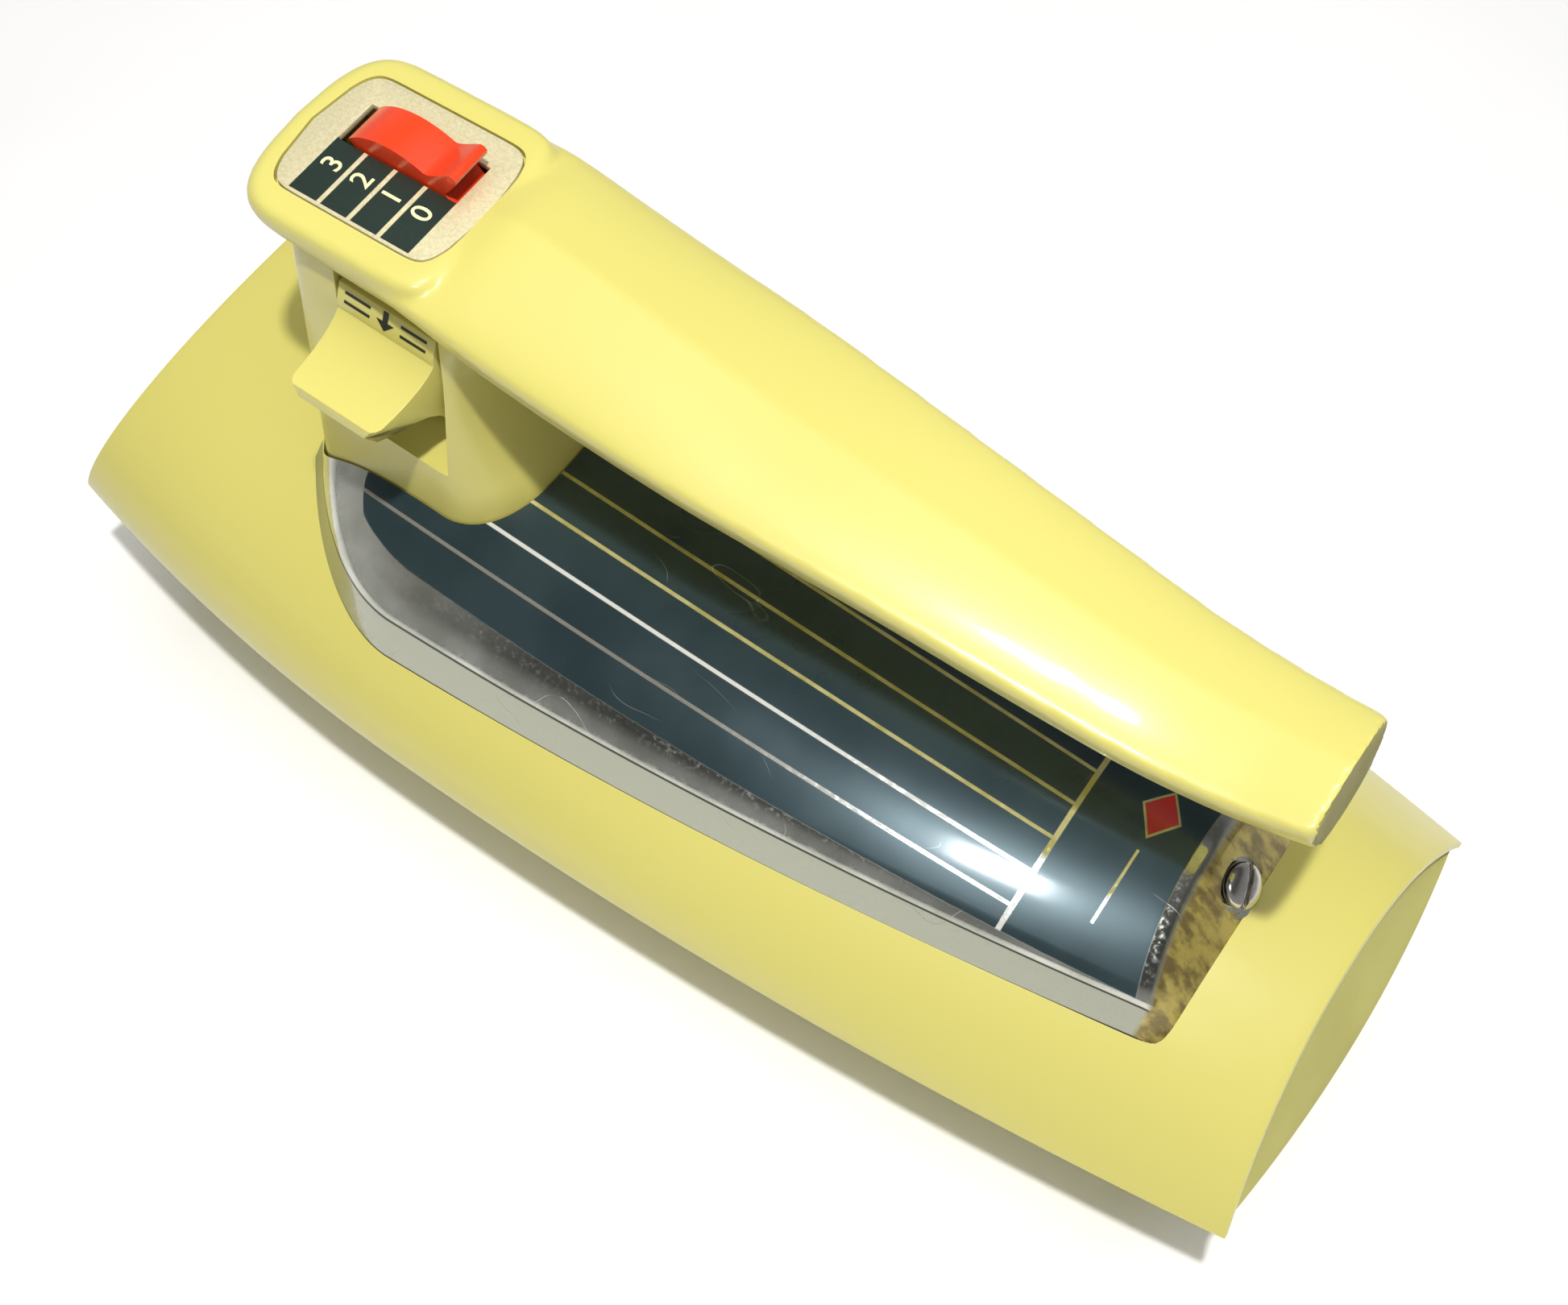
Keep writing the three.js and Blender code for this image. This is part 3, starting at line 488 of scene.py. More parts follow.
def deck_finish():
    """Bright plated shell with dark paint on top, bare stripes, a cross line and a plain lozenge.

    The map "deck" holds x and the distance across from the centre line, in decimetres, and the
    map "reach" holds how far across and along the deck's top a point lies, from 0 to 1.
    """
    n = Nodes("deck_finish")
    deck = n.parts(n.add("ShaderNodeUVMap", uv_map="deck").outputs[0])
    reach = n.parts(n.add("ShaderNodeUVMap", uv_map="reach").outputs[0])
    along = n.times(deck["X"], 100.0)
    across = n.size(n.times(deck["Y"], 100.0))
    side, rear = reach["X"], reach["Y"]

    def below(value, limit, soft):
        return n.ramp(n.minus(value, limit), -soft, soft, 1.0, 0.0)

    def line(distance, half):
        return below(n.size(distance), half, 0.07)

    # where the dark paint lies: it stops at a worn edge and at a curve near the nose
    worn = n.times(n.minus(n.noise(700, 4), 0.5), 0.006)
    edge = n.math("ADD", n.math("MULTIPLY_ADD", along, 0.0013, 0.8765), worn)
    past = n.most(n.minus(side, 0.68), 0.0)
    front = n.math("MULTIPLY_ADD", n.times(past, past), 190.0, -56.5)
    painted = n.times(below(side, edge, 0.004), below(front, along, 0.15),
                      below(rear, 0.984, 0.001), n.ramp(rear, 0.0005, 0.001))

    # what stays bare in the paint
    ahead = n.math("DIVIDE", n.minus(CROSS_LINE, along), FAN_LENGTH)
    fan = n.math("MULTIPLY_ADD", ahead, n.math("MULTIPLY_ADD", ahead, -0.06, 0.16), 1.0)
    fanned = n.math("DIVIDE", across, fan)
    pitch = n.math("PINGPONG", fanned, STRIPE_PITCH / 2)
    stripes = n.times(line(pitch, STRIPE_HALF), below(fanned, 4.5 * STRIPE_PITCH, 0.05),
                      below(along, CROSS_LINE, 0.05))
    cross = line(n.minus(along, CROSS_LINE), 0.42)
    from_mark = n.size(n.minus(along, LOZENGE_X))
    lozenge = n.math("ADD", n.times(from_mark, 1.35), across)
    ring = line(n.minus(lozenge, LOZENGE_HALF), 0.32)
    rules = n.times(line(from_mark, 0.22),
                    n.times(below(RULE_ENDS[0], across, 0.1), below(across, RULE_ENDS[1], 0.1)))
    chips = n.ramp(n.noise(900, 3, 0.6), 0.80, 0.81)
    bare = n.most(stripes, cross, ring, rules, chips)
    paint = n.times(painted, n.minus(1.0, bare))
    red = n.times(below(lozenge, LOZENGE_HALF - 0.3, 0.05), painted)

    swirls = n.noise(1300, 3, 0.6)
    contour = n.size(n.minus(n.noise(55, 1, 0.4, (1, 2.2, 1)), 0.5))
    hairs = n.times(n.ramp(contour, 0.0, 0.0035, 1.0, 0.0), n.ramp(n.noise(70, 2), 0.52, 0.6))
    tint = n.mix(n.ramp(n.noise(60, 3), 0.3, 0.7), (0.026, 0.048, 0.056), (0.036, 0.062, 0.070))
    gold = n.mix(n.ramp(n.noise(300, 3), 0.35, 0.65), (0.46, 0.42, 0.14), (0.60, 0.56, 0.26))
    # outermost stripe: dull grey at the front turning pale towards the rear, a painted highlight
    outer_stripe_highlight = n.mix(n.ramp(along, 0, 50), (0.27, 0.26, 0.23), PAINTED_STRIPE_HIGHLIGHT)
    # the second stripe from the edge takes the pale painted highlight, the inner ones stay gold
    inner = n.mix(n.ramp(fanned, 13.8, 14.8), gold, PAINTED_STRIPE_HIGHLIGHT)
    stripe_tint = n.mix(n.ramp(fanned, 19.5, 20.5), inner, outer_stripe_highlight)
    # the rear wall's colour below is a painted reflection of the yellow plastic, in yellow and dark
    # streaks
    end_wall = n.ramp(rear, 0.995, 1.005)
    painted_reflection_streaks = n.ramp(n.noise(190, 3, 0.6, (1, 2.2, 1)), 0.38, 0.64)
    # thin dark line at the roll between the top and a side wall: a painted shadow in the crease
    crease_shadow_line = below(n.size(n.minus(side, 1.012)), 0.005, 0.003)
    plate = n.mix(n.ramp(n.noise(90, 5), 0.3, 0.75), (0.52, 0.53, 0.46), (0.82, 0.83, 0.75))
    # side walls darker and yellowish grey: a painted reflection of the yellow housing skirt in the
    # chrome
    plate = n.mix(n.ramp(side, 0.995, 1.02), plate, (0.39, 0.40, 0.32))
    plate = n.mix(crease_shadow_line, plate, (0.05, 0.045, 0.035))
    plate = n.mix(end_wall, plate, n.mix(painted_reflection_streaks, (0.50, 0.40, 0.10), (0.20, 0.15, 0.045)))
    plate = n.mix(n.ramp(side, FOOT_LINE, FOOT_LINE + 0.006), plate, (0.02, 0.018, 0.008))
    metal_tint = n.mix(painted, plate, stripe_tint)
    scratched = n.mix(n.times(hairs, 0.35), tint, (0.5, 0.5, 0.46))
    base = n.mix(paint, metal_tint, scratched)
    n.set(Base_Color=n.mix(red, base, (0.55, 0.015, 0.01)))

    inlaid = n.times(n.minus(painted, paint), 0.65)
    worn_front = n.times(n.ramp(along, -58, -15, 0.22, 0.0), n.minus(1.0, painted))
    inlaid = n.most(inlaid, worn_front, n.times(end_wall, 0.5), n.times(hairs, 0.4))
    dull = n.most(n.times(paint, 0.55), red, inlaid)
    n.set(Metallic=n.minus(1.0, dull))
    scuffed = n.math("MULTIPLY_ADD", hairs, 0.3, n.ramp(swirls, 0.42, 0.72, 0.08, 0.26))
    glossy = n.ramp(n.noise(60, 2), 0.3, 0.7, 0.26, 0.32)
    n.set(Roughness=n.blend(paint, scuffed, glossy), Coat_Weight=0.3, Coat_Roughness=0.1)
    height = n.math("ADD", n.times(painted, 0.3), n.times(swirls, 0.10))
    n.bump(height, 0.25, 0.00006)
    return n.material


FIELD_PITCH = 5.3           # the printed fields' pitch along the speed plate
FIELD_HALF = 2 * FIELD_PITCH
FIGURE_ROW = -4.6
FIGURE_HEIGHT = 3.3


def plate_finish():
    """Pale gold plate, with four dark printed fields and the bare rules between them."""
    n = Nodes("plate_metal")
    at = n.parts(n.place)
    x, y = n.times(at["X"], 1000.0), n.times(at["Y"], 1000.0)

    def inside(value, low, high):
        above = n.ramp(value, low - 0.06, low + 0.06)
        return n.times(above, n.ramp(value, high - 0.06, high + 0.06, 1.0, 0.0))

    field = n.times(inside(x, PLATE_X - FIELD_HALF, PLATE_X + FIELD_HALF), inside(y, -10.7, -0.4))
    pitch = n.math("PINGPONG", n.size(n.minus(x, PLATE_X)), FIELD_PITCH / 2)
    rules = n.times(n.ramp(pitch, 0.28, 0.42, 1.0, 0.0), inside(x, PLATE_X - 7, PLATE_X + 7))
    print_ink = n.times(field, n.minus(1.0, rules))
    grain = n.noise(2300, 4, 0.7)
    satin = n.mix(n.ramp(grain, 0.3, 0.7), (0.70, 0.63, 0.37), (0.84, 0.77, 0.50))
    n.set(Base_Color=n.mix(print_ink, satin, (0.016, 0.028, 0.022)))
    n.set(Metallic=n.math("MULTIPLY_ADD", print_ink, -0.35, 0.35))
    n.set(Roughness=n.ramp(grain, 0.3, 0.7, 0.34, 0.52))
    n.bump(grain, 0.10, 0.0001)
    return n.material


YELLOW = enamel()
# the closing panels' yellow is set darker than the housing's: painted shade under the lips
SATIN_SHADED = satin_yellow("satin_yellow", (0.54, 0.51, 0.17))
# a darker copy of the satin yellow for the handle's flat end: painted shade on the face turned from the
# lamp
END_FACE_SHADE = satin_yellow("end_face_painted_shade", (0.36, 0.33, 0.12))
DECK = deck_finish()
PLATE = plate_finish()
CHROME = metal("bright_steel", (0.72, 0.70, 0.66), 0.16, scale=700)
RED = plastic("drum_red", (0.80, 0.055, 0.012), 0.28, 0.10, 0.3, 0.05)
FIGURES = plastic("figure_paint", (0.80, 0.76, 0.45), 0.4, 0.08)
INK = plastic("arrow_ink", (0.012, 0.012, 0.010), 0.5, 0.3)
INNER = {
    "steel": metal("steel", (0.50, 0.51, 0.52), 0.32, (0.1, 1, 1)),
    "lamination": metal("lamination", (0.16, 0.17, 0.18), 0.5, (40, 0.1, 0.1), 120),
    "copper": metal("copper", (0.58, 0.24, 0.09), 0.35, (1, 0.1, 0.1)),
    "bronze": metal("bronze", (0.45, 0.29, 0.10), 0.5, scale=2200),
    "brass": metal("brass", (0.62, 0.45, 0.15), 0.3, (0.2, 1, 1)),
    "diecast": metal("diecast", (0.38, 0.39, 0.40), 0.55, scale=1500),
    "bright_steel": CHROME,
    "carbon": plastic("carbon", (0.02, 0.02, 0.022), 0.7, 0.3, 0.0, 0.2),
    "phenolic": plastic("phenolic", (0.045, 0.022, 0.014), 0.45, 0.25, 0.0, 0.1),
    "nylon": plastic("nylon", (0.74, 0.71, 0.60), 0.45, 0.05, 0.0, 0.05),
    "black": plastic("black", (0.014, 0.014, 0.015), 0.35, 0.2, 0.1, 0.08),
    "enamel_yellow": YELLOW,
    "deck_paint": DECK,
    "plate_metal": PLATE,
    "drum_red": RED,
}
for entry in frame["record"]["subparts"]:
    slots = frame["nodes"][entry["node"]].data.materials
    slots.clear()
    slots.append(INNER[entry["material_slot"]])


# ---- flared housing --------------------------------------------------
NOSE_TAPER, HEEL_TAPER = 8.5, 12  # how much narrower each end is than the widest line, per side
CROWN_FALL = 3.6            # how far the crown drops towards each end
NOSE_SHOULDER, HEEL_SHOULDER = 2.2, 1.05  # how square the cross-section's shoulders are


def half_width(x):
    rear = x > WIDEST_X
    reach = HALF_LENGTH - WIDEST_X if rear else HALF_LENGTH + WIDEST_X
    return WIDEST - (HEEL_TAPER if rear else NOSE_TAPER) * ((x - WIDEST_X) / reach) ** 2


def crown(x):
    return SPINE - CROWN_FALL * (x / HALF_LENGTH) ** 4


def shoulder(x):
    return lerp(NOSE_SHOULDER, HEEL_SHOULDER, clamp((x + HALF_LENGTH) / 200))


def arch_height(x, y):
    across = min(1.0, abs(y) / half_width(x))
    return crown(x) * (1 - across ** ARCH) ** (1 / shoulder(x))


def canopy(u, s, inset):
    """A point of the housing: u from -1 to 1 along, s from -1 to 1 across, inset into the wall."""
    x = u * HALF_LENGTH
    turn = s * math.pi / 2
    y = (half_width(x) - inset) * power(math.sin(turn), 2 / ARCH)
    z = (crown(x) - inset) * max(0.0, math.cos(turn)) ** (2 / shoulder(x))
    lean = NOSE_RAKE if u < 0 else -HEEL_RAKE
    return Vector((x + lean * z * abs(u) ** 3, y, RIM + z))


def make_upper_housing():
    def wall(u):
        """The skin's thickness, which falls off over the last 7 percent at each end."""
        return SKIN - (SKIN - LIP) * clamp((abs(2 * u - 1) - 0.93) / 0.07)

    shell = slab("housing_canopy",
                 lambda u, v: canopy(2 * u - 1, 2 * v - 1, 0),
                 lambda u, v: canopy(2 * u - 1, 2 * v - 1, wall(u)), 121, 73)
    cut(shell, box("passage", (-64, -6, RIM + 10), (-44, 6, RIM + 40)), along_screw(deck_screw_hole()))
    rounded(shell, 0.35)
    finish_piece(shell, YELLOW, ["upper_housing"])


def make_end_panel(name, node, direction):
    """The panel that closes an end, set back under the lip, with its foot bowed out a little."""
    lean = NOSE_RAKE + 0.1 if direction < 0 else HEEL_RAKE + 0.13
    foot = 0.9

    def surface(back):
        def at(u, v):
            p = canopy(direction, 1.94 * (v - 0.5), SKIN + GAP)
            top = max(p.z - GAP, RIM + foot + 0.6)
            z = lerp(RIM + foot, top, u)
            across = p.y / half_width(direction * HALF_LENGTH)
            bulge = PANEL_BULGE * (1 - across ** 2) * (1 - u) ** 2
            x = direction * (HALF_LENGTH - 1.0 + bulge - lean * (z - RIM) - 2 * back)
            return (x, p.y, z)
        return at

    panel = slab(name, surface(0), surface(1), 9, 61)
    rounded(panel, 0.3)
    finish_piece(panel, SATIN_SHADED, [node])


# ---- belly -----------------------------------------------------------
TUB_X = 2
TUB_TOP = 34.3
TUB_WALL = 2.5
# height, half length and half width
BELLY = [(0, 85.6, 27.6), (0.5, 87.6, 29.6), (2.4, 90.6, 32.4), (6, 92.8, 34.5), (11, 94, 35.6),
         (34.1, 95.5, 37)]


def belly(name, inset, top):
    """The tub's outer form, or its hollow where it is inset, up to the height top."""
    rings = []
    for z, a, b in BELLY:
        height = top if z == BELLY[-1][0] else z + inset
        rings.append([(TUB_X + (a - inset) * power(c, 0.5), (b - inset) * power(s, 0.5), height)
                      for c, s in circle(128)])
    return tube(name, rings)


def make_lower_housing():
    """The tub under the skirt, with its rim plate, sockets, screw wells and inlet opening."""
    reach = HALF_LENGTH - SKIN - GAP - 1.2
    near = [(x, -(half_width(x) - SKIN - GAP)) for x in spread([(-reach, reach, 60)])]
    outline = near + [(x, -y) for x, y in reversed(near)]
    tub = belly("housing_tub", 0, TUB_TOP)
    plate = tube("rim_plate", [[(x, y * 0.985, z) for x, y in outline] for z in (RIM, RIM + 2.2)])
    join(tub, plate)
    cut(tub, belly("inside", TUB_WALL, RIM + 6))
    for side in (-1, 1):
        cut(tub, rod(SOCKET_RADIUS, -1, 6, 64, shift(GEAR_X, side * GEAR_Y, 0)))
    for x, y in BASE_SCREWS:
        cut(tub, rod(SCREW_CLEARANCE, -1, RIM + 4, 32, shift(x, y, 0)))
    cut(tub, box("inlet_way", (90, -10.3, 7.7), (100, 10.3, 22.3)))
    rounded(tub, 0.4, angle=50)
    finish_piece(tub, YELLOW, ["lower_housing"])


def make_base_screw(index, x, y):
    screw = turned(f"base_screw_head_{index}",
                   [(2.2, -0.15), (2.8, 0.3), (3.0, 0.8), (3, 1.4), (1.4, 1.7), (1.4, 8.2)], 40)
    for low, high in (((-2.1, -0.4, -1), (2.1, 0.4, 0.8)), ((-0.4, -2.1, -1), (0.4, 2.1, 0.8))):
        cut(screw, box("slot", low, high))
    screw.data.transform(shift(x, y, RIM - 2))
    finish_piece(screw, INNER["steel"], [f"base_screw_{index}"])


# ---- deck cover ------------------------------------------------------
def deck_half_width(x):
    front = clamp((-42 - x) / 28)
    rear = clamp((x + 42) / 130)
    return 39.9 - 17.9 * front ** 1.9 - 5.9 * rear - 10.1 * rear ** 2


def deck_spine(x):
    return RIM + 35.8 - 0.0314 * (x + 28.8)


SIDE_WALL = 0.215           # the side wall's share of the half width
REAR_WALL = 0.073           # the rear wall's share of the length
ROLL_ACROSS, ROLL_ALONG = 0.022, 0.009  # how far the rolled edges reach to each side
EDGE_DROOP = 0.9            # how far the top sinks before it meets a side wall
WALL_RUN = 3.2              # how far a side wall leans out
SUNK = 0.6                  # how deep the walls' feet sit in the housing's skin


def deck_sharp(u, v):
    """The deck before its edges are rolled. Over 1, u is on the rear wall and v on a side wall."""
    lift = min(1.0, abs(v))
    wall = clamp((abs(v) - 1) / SIDE_WALL)
    rear_top = 80 + 4.2 * lift ** 2.2
    x = lerp(DECK_FRONT, rear_top, min(1.0, u))
    base = deck_half_width(x)
    rim = base - WALL_RUN
    y = lerp(rim * lift, base, wall)
    flat = clamp((x + 20) / 100)
    z = deck_spine(x) - lerp(DECK_CROWN, REAR_CROWN, flat) * lift ** lerp(2, 1.6, flat)
    z -= EDGE_DROOP * clamp((lift - 0.93) / 0.07) ** 2
    z = lerp(z, RIM + arch_height(x, base) - SUNK, wall)
    fall = clamp((u - 1) / REAR_WALL)
    if fall > 0:
        foot_y = y * deck_half_width(DECK_FOOT) / base
        foot_z = min(z, RIM + arch_height(DECK_FOOT, foot_y) - SUNK)
        x, y, z = lerp(x, DECK_FOOT, fall), lerp(y, foot_y, fall), lerp(z, foot_z, fall)
    return Vector((x, math.copysign(y, v), z))


def rolled(at, t, corner, reach):
    """Reads at(t), with the corner replaced by a curve."""
    if abs(t - corner) >= reach:
        return at(t)
    k = (t - corner + reach) / (2 * reach)
    start, middle, end = at(corner - reach), at(corner), at(corner + reach)
    return start * (1 - k) ** 2 + middle * (2 * k * (1 - k)) + end * k ** 2


def deck_surface(u, v):
    def across(w):
        return rolled(lambda t: deck_sharp(t, math.copysign(w, v)), u, 1, ROLL_ALONG)
    return rolled(across, abs(v), 1, ROLL_ACROSS)


def make_deck():
    rows = spread([(0, 0.2, 22), (0.2, 1 - ROLL_ALONG, 66), (1 - ROLL_ALONG, 1 + ROLL_ALONG, 6),
                   (1 + ROLL_ALONG, 1 + REAR_WALL, 6)])
    half = spread([(0, 1 - ROLL_ACROSS, 26), (1 - ROLL_ACROSS, 1 + ROLL_ACROSS, 6),
                   (1 + ROLL_ACROSS, 1 + SIDE_WALL, 4)])
    columns = [-v for v in reversed(half)] + half[1:]
    points = [deck_surface(u, v if abs(v) > 1e-9 else 1e-9) for u in rows for v in columns]
    shell = new_object("deck_shell", points, grid_faces(len(rows), len(columns)), False)
    middle = len(half) - 1
    deck_map = shell.data.uv_layers.new(name="deck")
    reach_map = shell.data.uv_layers.new(name="reach")
    values = {}
    for i, u in enumerate(rows):
        arc = {middle: 0.0}
        for step in (1, -1):
            j = middle
            while 0 <= j + step < len(columns):
                a, b = points[i * len(columns) + j], points[i * len(columns) + j + step]
                arc[j + step] = arc[j] + step * (b - a).length
                j += step
        for j, v in enumerate(columns):
            index = i * len(columns) + j
            values[index] = ((points[index].x / 100, arc[j] / 100), (abs(v), u))
    for loop in shell.data.loops:
        first, second = values[loop.vertex_index]
        deck_map.data[loop.index].uv = first
        reach_map.data[loop.index].uv = second
    if shell.data.polygons[0].normal.z < 0:
        shell.data.flip_normals()
    step = shell.modifiers.new("thick", "SOLIDIFY")
    step.thickness = 1.2 * MM
    step.offset = -1
    step.use_even_offset = True
    apply_modifiers(shell)
    # without the notch a thread of deck would show in front of the pillar
    cut(shell, pillar("clearance", GAP, RIM + 10, RIM + 60),
            box("front_notch", (DECK_FRONT - 5, -19, RIM), (PILLAR_FRONT + 4, 19, RIM + 60)))
    cut(shell, along_screw(turned("hollow", [(4.0, -GAP), (4.1, 0.6), (4.5, 2), (5.2, 8)], 64)))
    join(shell, along_screw(rod(4.9, -1.4, -GAP, 64)))
    cut(shell, along_screw(deck_screw_hole()))
    finish_piece(shell, DECK, ["deck_cover"], 50)


def along_screw(obj):
    """Moves a piece made about Z onto the deck screw's leaning axis."""
    obj.data.transform(Matrix.Translation(SCREW_SEAT * MM) @ Matrix.Rotation(SCREW_TILT, 4, "Y"))
    return obj


def deck_screw_hole():
    return rod(1.7, -16, 1)


def make_deck_screw():
    screw = turned("deck_screw_head", [(1.4, -8.5), (1.4, 0), (3.1, 0), (3.4, 0.3), (3.4, 1.1),
                                       (3.25, 1.45), (2.8, 1.8), (1.9, 2.08), (0.8, 2.2)], 64)
    slot = box("slot", (-4, -0.5, 1.05), (4, 0.5, 4))
    slot.data.transform(Matrix.Rotation(math.radians(-62), 4, "Z"))
    cut(screw, slot)
    rounded(screw, 0.12, 2)
    finish_piece(along_screw(screw), CHROME, ["deck_screw"])


# ---- pillar, head and handle -----------------------------------------
# height above the rim, and x of the pillar's rear edge there
PILLAR_REAR = [(10, -29), (30, -29.5), (36, -30.5), (42, -33), (50, -35.5), (58, -36.6), (64, -36),
               (68, -33), (71, -27)]


def pillar_side(z):
    return 21.7 - 0.162 * (z - RIM - 28)


def pillar(name, grow, bottom, top, levels=40):
    """The pillar under the head, grown outwards: square in front and round at its rear."""
    rings = []
    for level in range(levels + 1):
        z = lerp(bottom, top, level / levels)
        side = pillar_side(max(z, RIM + 20)) + grow
        rear = through(PILLAR_REAR, z - RIM)[0] + grow
        ring = []
        for c, s in circle(96):
            if c > 0:
                x = PILLAR_SIDE_END + (rear - PILLAR_SIDE_END) * c
                y = side * power(s, 0.75)
            else:
                x = PILLAR_SIDE_END + (PILLAR_SIDE_END - PILLAR_FRONT + grow) * power(c, 0.2)
                y = side * power(s, 0.2)
            ring.append((x, y, z))
        rings.append(ring)
    return tube(name, rings)


# x, half width, height of the widest line, ridge height and underside height, above the rim
GRIP = [(-56, 15.4, 77.8, 79.8, 71.5), (-48, 16.3, 78, 81, 70.5), (-42, 16.7, 78.2, 82.6, 69),
        (-37, 16.8, 77.4, 84, 67), (-30, 16.8, 76.2, 83.6, 65.4), (-16, 16.6, 74.6, 81.6, 63.5),
        (0, 16.2, 73.6, 79, 62.3), (10, 15.6, 73, 77.6, 61.8), (30, 14.2, 71.6, 75.9, 60.8),
        (52, 12.8, 69.7, 73.9, 59.6), (66, 11.8, 68.9, 72.9, 59.2), (78, 10.8, 70.1, 73.9, 60.6),
        (86, 9.9, 72.1, 75.8, 62.6), (95, 8.7, 74.8, 78.4, 65.6)]
GRIP_END = 90.9             # where the handle's flat end is cut
END_TILT = -0.18            # how far that end leans in, per millimetre of height
SPLIT_FRONT, SPLIT_REAR = -26, 85  # ends of the underside cover
GRIP_WALL = 2.6
CREASE = 0.55               # share of the top's height lost straight from its crease


def grip(name, inset, first, last):
    """The handle as a bar along X: a soft ridge on top and a full rounded underside."""
    rings = []
    for x in spread([(first, last, 90)]):
        width, widest, ridge, under = through(GRIP, x)
        ring = []
        for c, s in circle(80):
            if s > 0:
                across = abs(c) ** 0.85
                y = math.copysign((width - inset) * across, c)
                z = widest + (ridge - widest - inset * 0.8) * (1 - CREASE * across) * (
                    1 - across ** 3.4) ** 0.5
            else:
                y = (width - inset) * power(c, 0.8)
                z = widest + (widest - under - inset) * power(s, 0.9)
            ring.append((x, y, RIM + z))
        rings.append(ring)
    return tube(name, rings)


HEAD_X = -57.4
HEAD_HALF = (16.7, 16.1)    # half length and half width
PLATE_HALF = (13.3, 11.2)


def head():
    """The flat-topped head that carries the speed plate."""
    rings = []
    for height, inset in ((74.6, 2.2), (74.8, 1.2), (75.3, 0.4), (76.0, 0.1), (78.6, 0), (79.6, 0.25),
                          (80.3, 0.8), (80.6, 1.7), (80.6, 2.6)):
        ring = []
        for c, s in circle(120):
            a, b = power(c, 0.3), power(s, 0.3)
            bow = 2.7 * (1 - b * b) * clamp(-a) ** 3
            x = HEAD_X + (HEAD_HALF[0] - inset) * a - bow
            y = (HEAD_HALF[1] - inset) * b
            rise = PLATE_SLOPE * (x - PLATE_X) if height > 76 else 0
            ring.append((x, y, RIM + height + rise))
        rings.append(ring)
    return tube("head", rings)


def under_region(name, clearance):
    """The space below the line where the handle splits into shell and underside cover."""
    rings = []
    for x in spread([(SPLIT_FRONT + clearance, SPLIT_REAR - clearance, 40)]):
        _, widest, _, under = through(GRIP, x)
        low, high = RIM + under - 6, RIM + widest - 4 - clearance
        rings.append([(x, -25, low), (x, 25, low), (x, 25, high), (x, -25, high)])
    return tube(name, rings)


def plate_outline(inset):
    """The speed plate's outline about its own centre: bowed ends and rounded corners."""
    half, wide = PLATE_HALF[0] - inset, PLATE_HALF[1] - inset
    points = []
    for c, s in circle(120):
        a, b = power(c, 0.16), power(s, 0.16)
        bow = (2.0 if a > 0 else 2.4) * (1 - b * b) * abs(a) ** 6
        points.append(((half + bow) * a, wide * b))
    return points


def on_plate(a, b, h):
    """From the plate's flat frame to its place in the sloping head."""
    tilt = math.atan(PLATE_SLOPE)
    return (PLATE_X + a * math.cos(tilt) - h * math.sin(tilt), b,
            PLATE_Z + a * math.sin(tilt) + h * math.cos(tilt))


def lever_recess():
    """The pocket in the pillar's side that the ejector lever travels in."""
    outline = [(-30, 42), (-18.2, 42), (-12.2, 45), (-11.9, 46), (-11.9, 72.4), (-30, 72.4)]
    return extruded("recess", outline, RECESS_FRONT, RECESS_REAR, lambda y, z, x: (x, y, RIM + z))


def drum_pocket_cover():
    """The low bulge on the pillar's front that makes room for the drum's swing."""
    outline = [(-66, 60), (-69.1, 60), (-71.8, 65.5), (-71.8, 76), (-66, 76)]
    return extruded("pocket_cover", outline, -5.2, 5.2, lambda x, z, y: (x, DRUM_Y + y, RIM + z))


def end_cut():
    """The space past the handle's flat end, which leans in to its top edge."""
    rings = []
    for height in (40, 90):
        x, z = GRIP_END + END_TILT * (height - 65), RIM + height
        rings.append([(x, -20, z), (x + 20, -20, z), (x + 20, 20, z), (x, 20, z)])
    return tube("end_cut", rings)


def handle_hollow():
    return grip("hollow", GRIP_WALL, -33, 86.5)


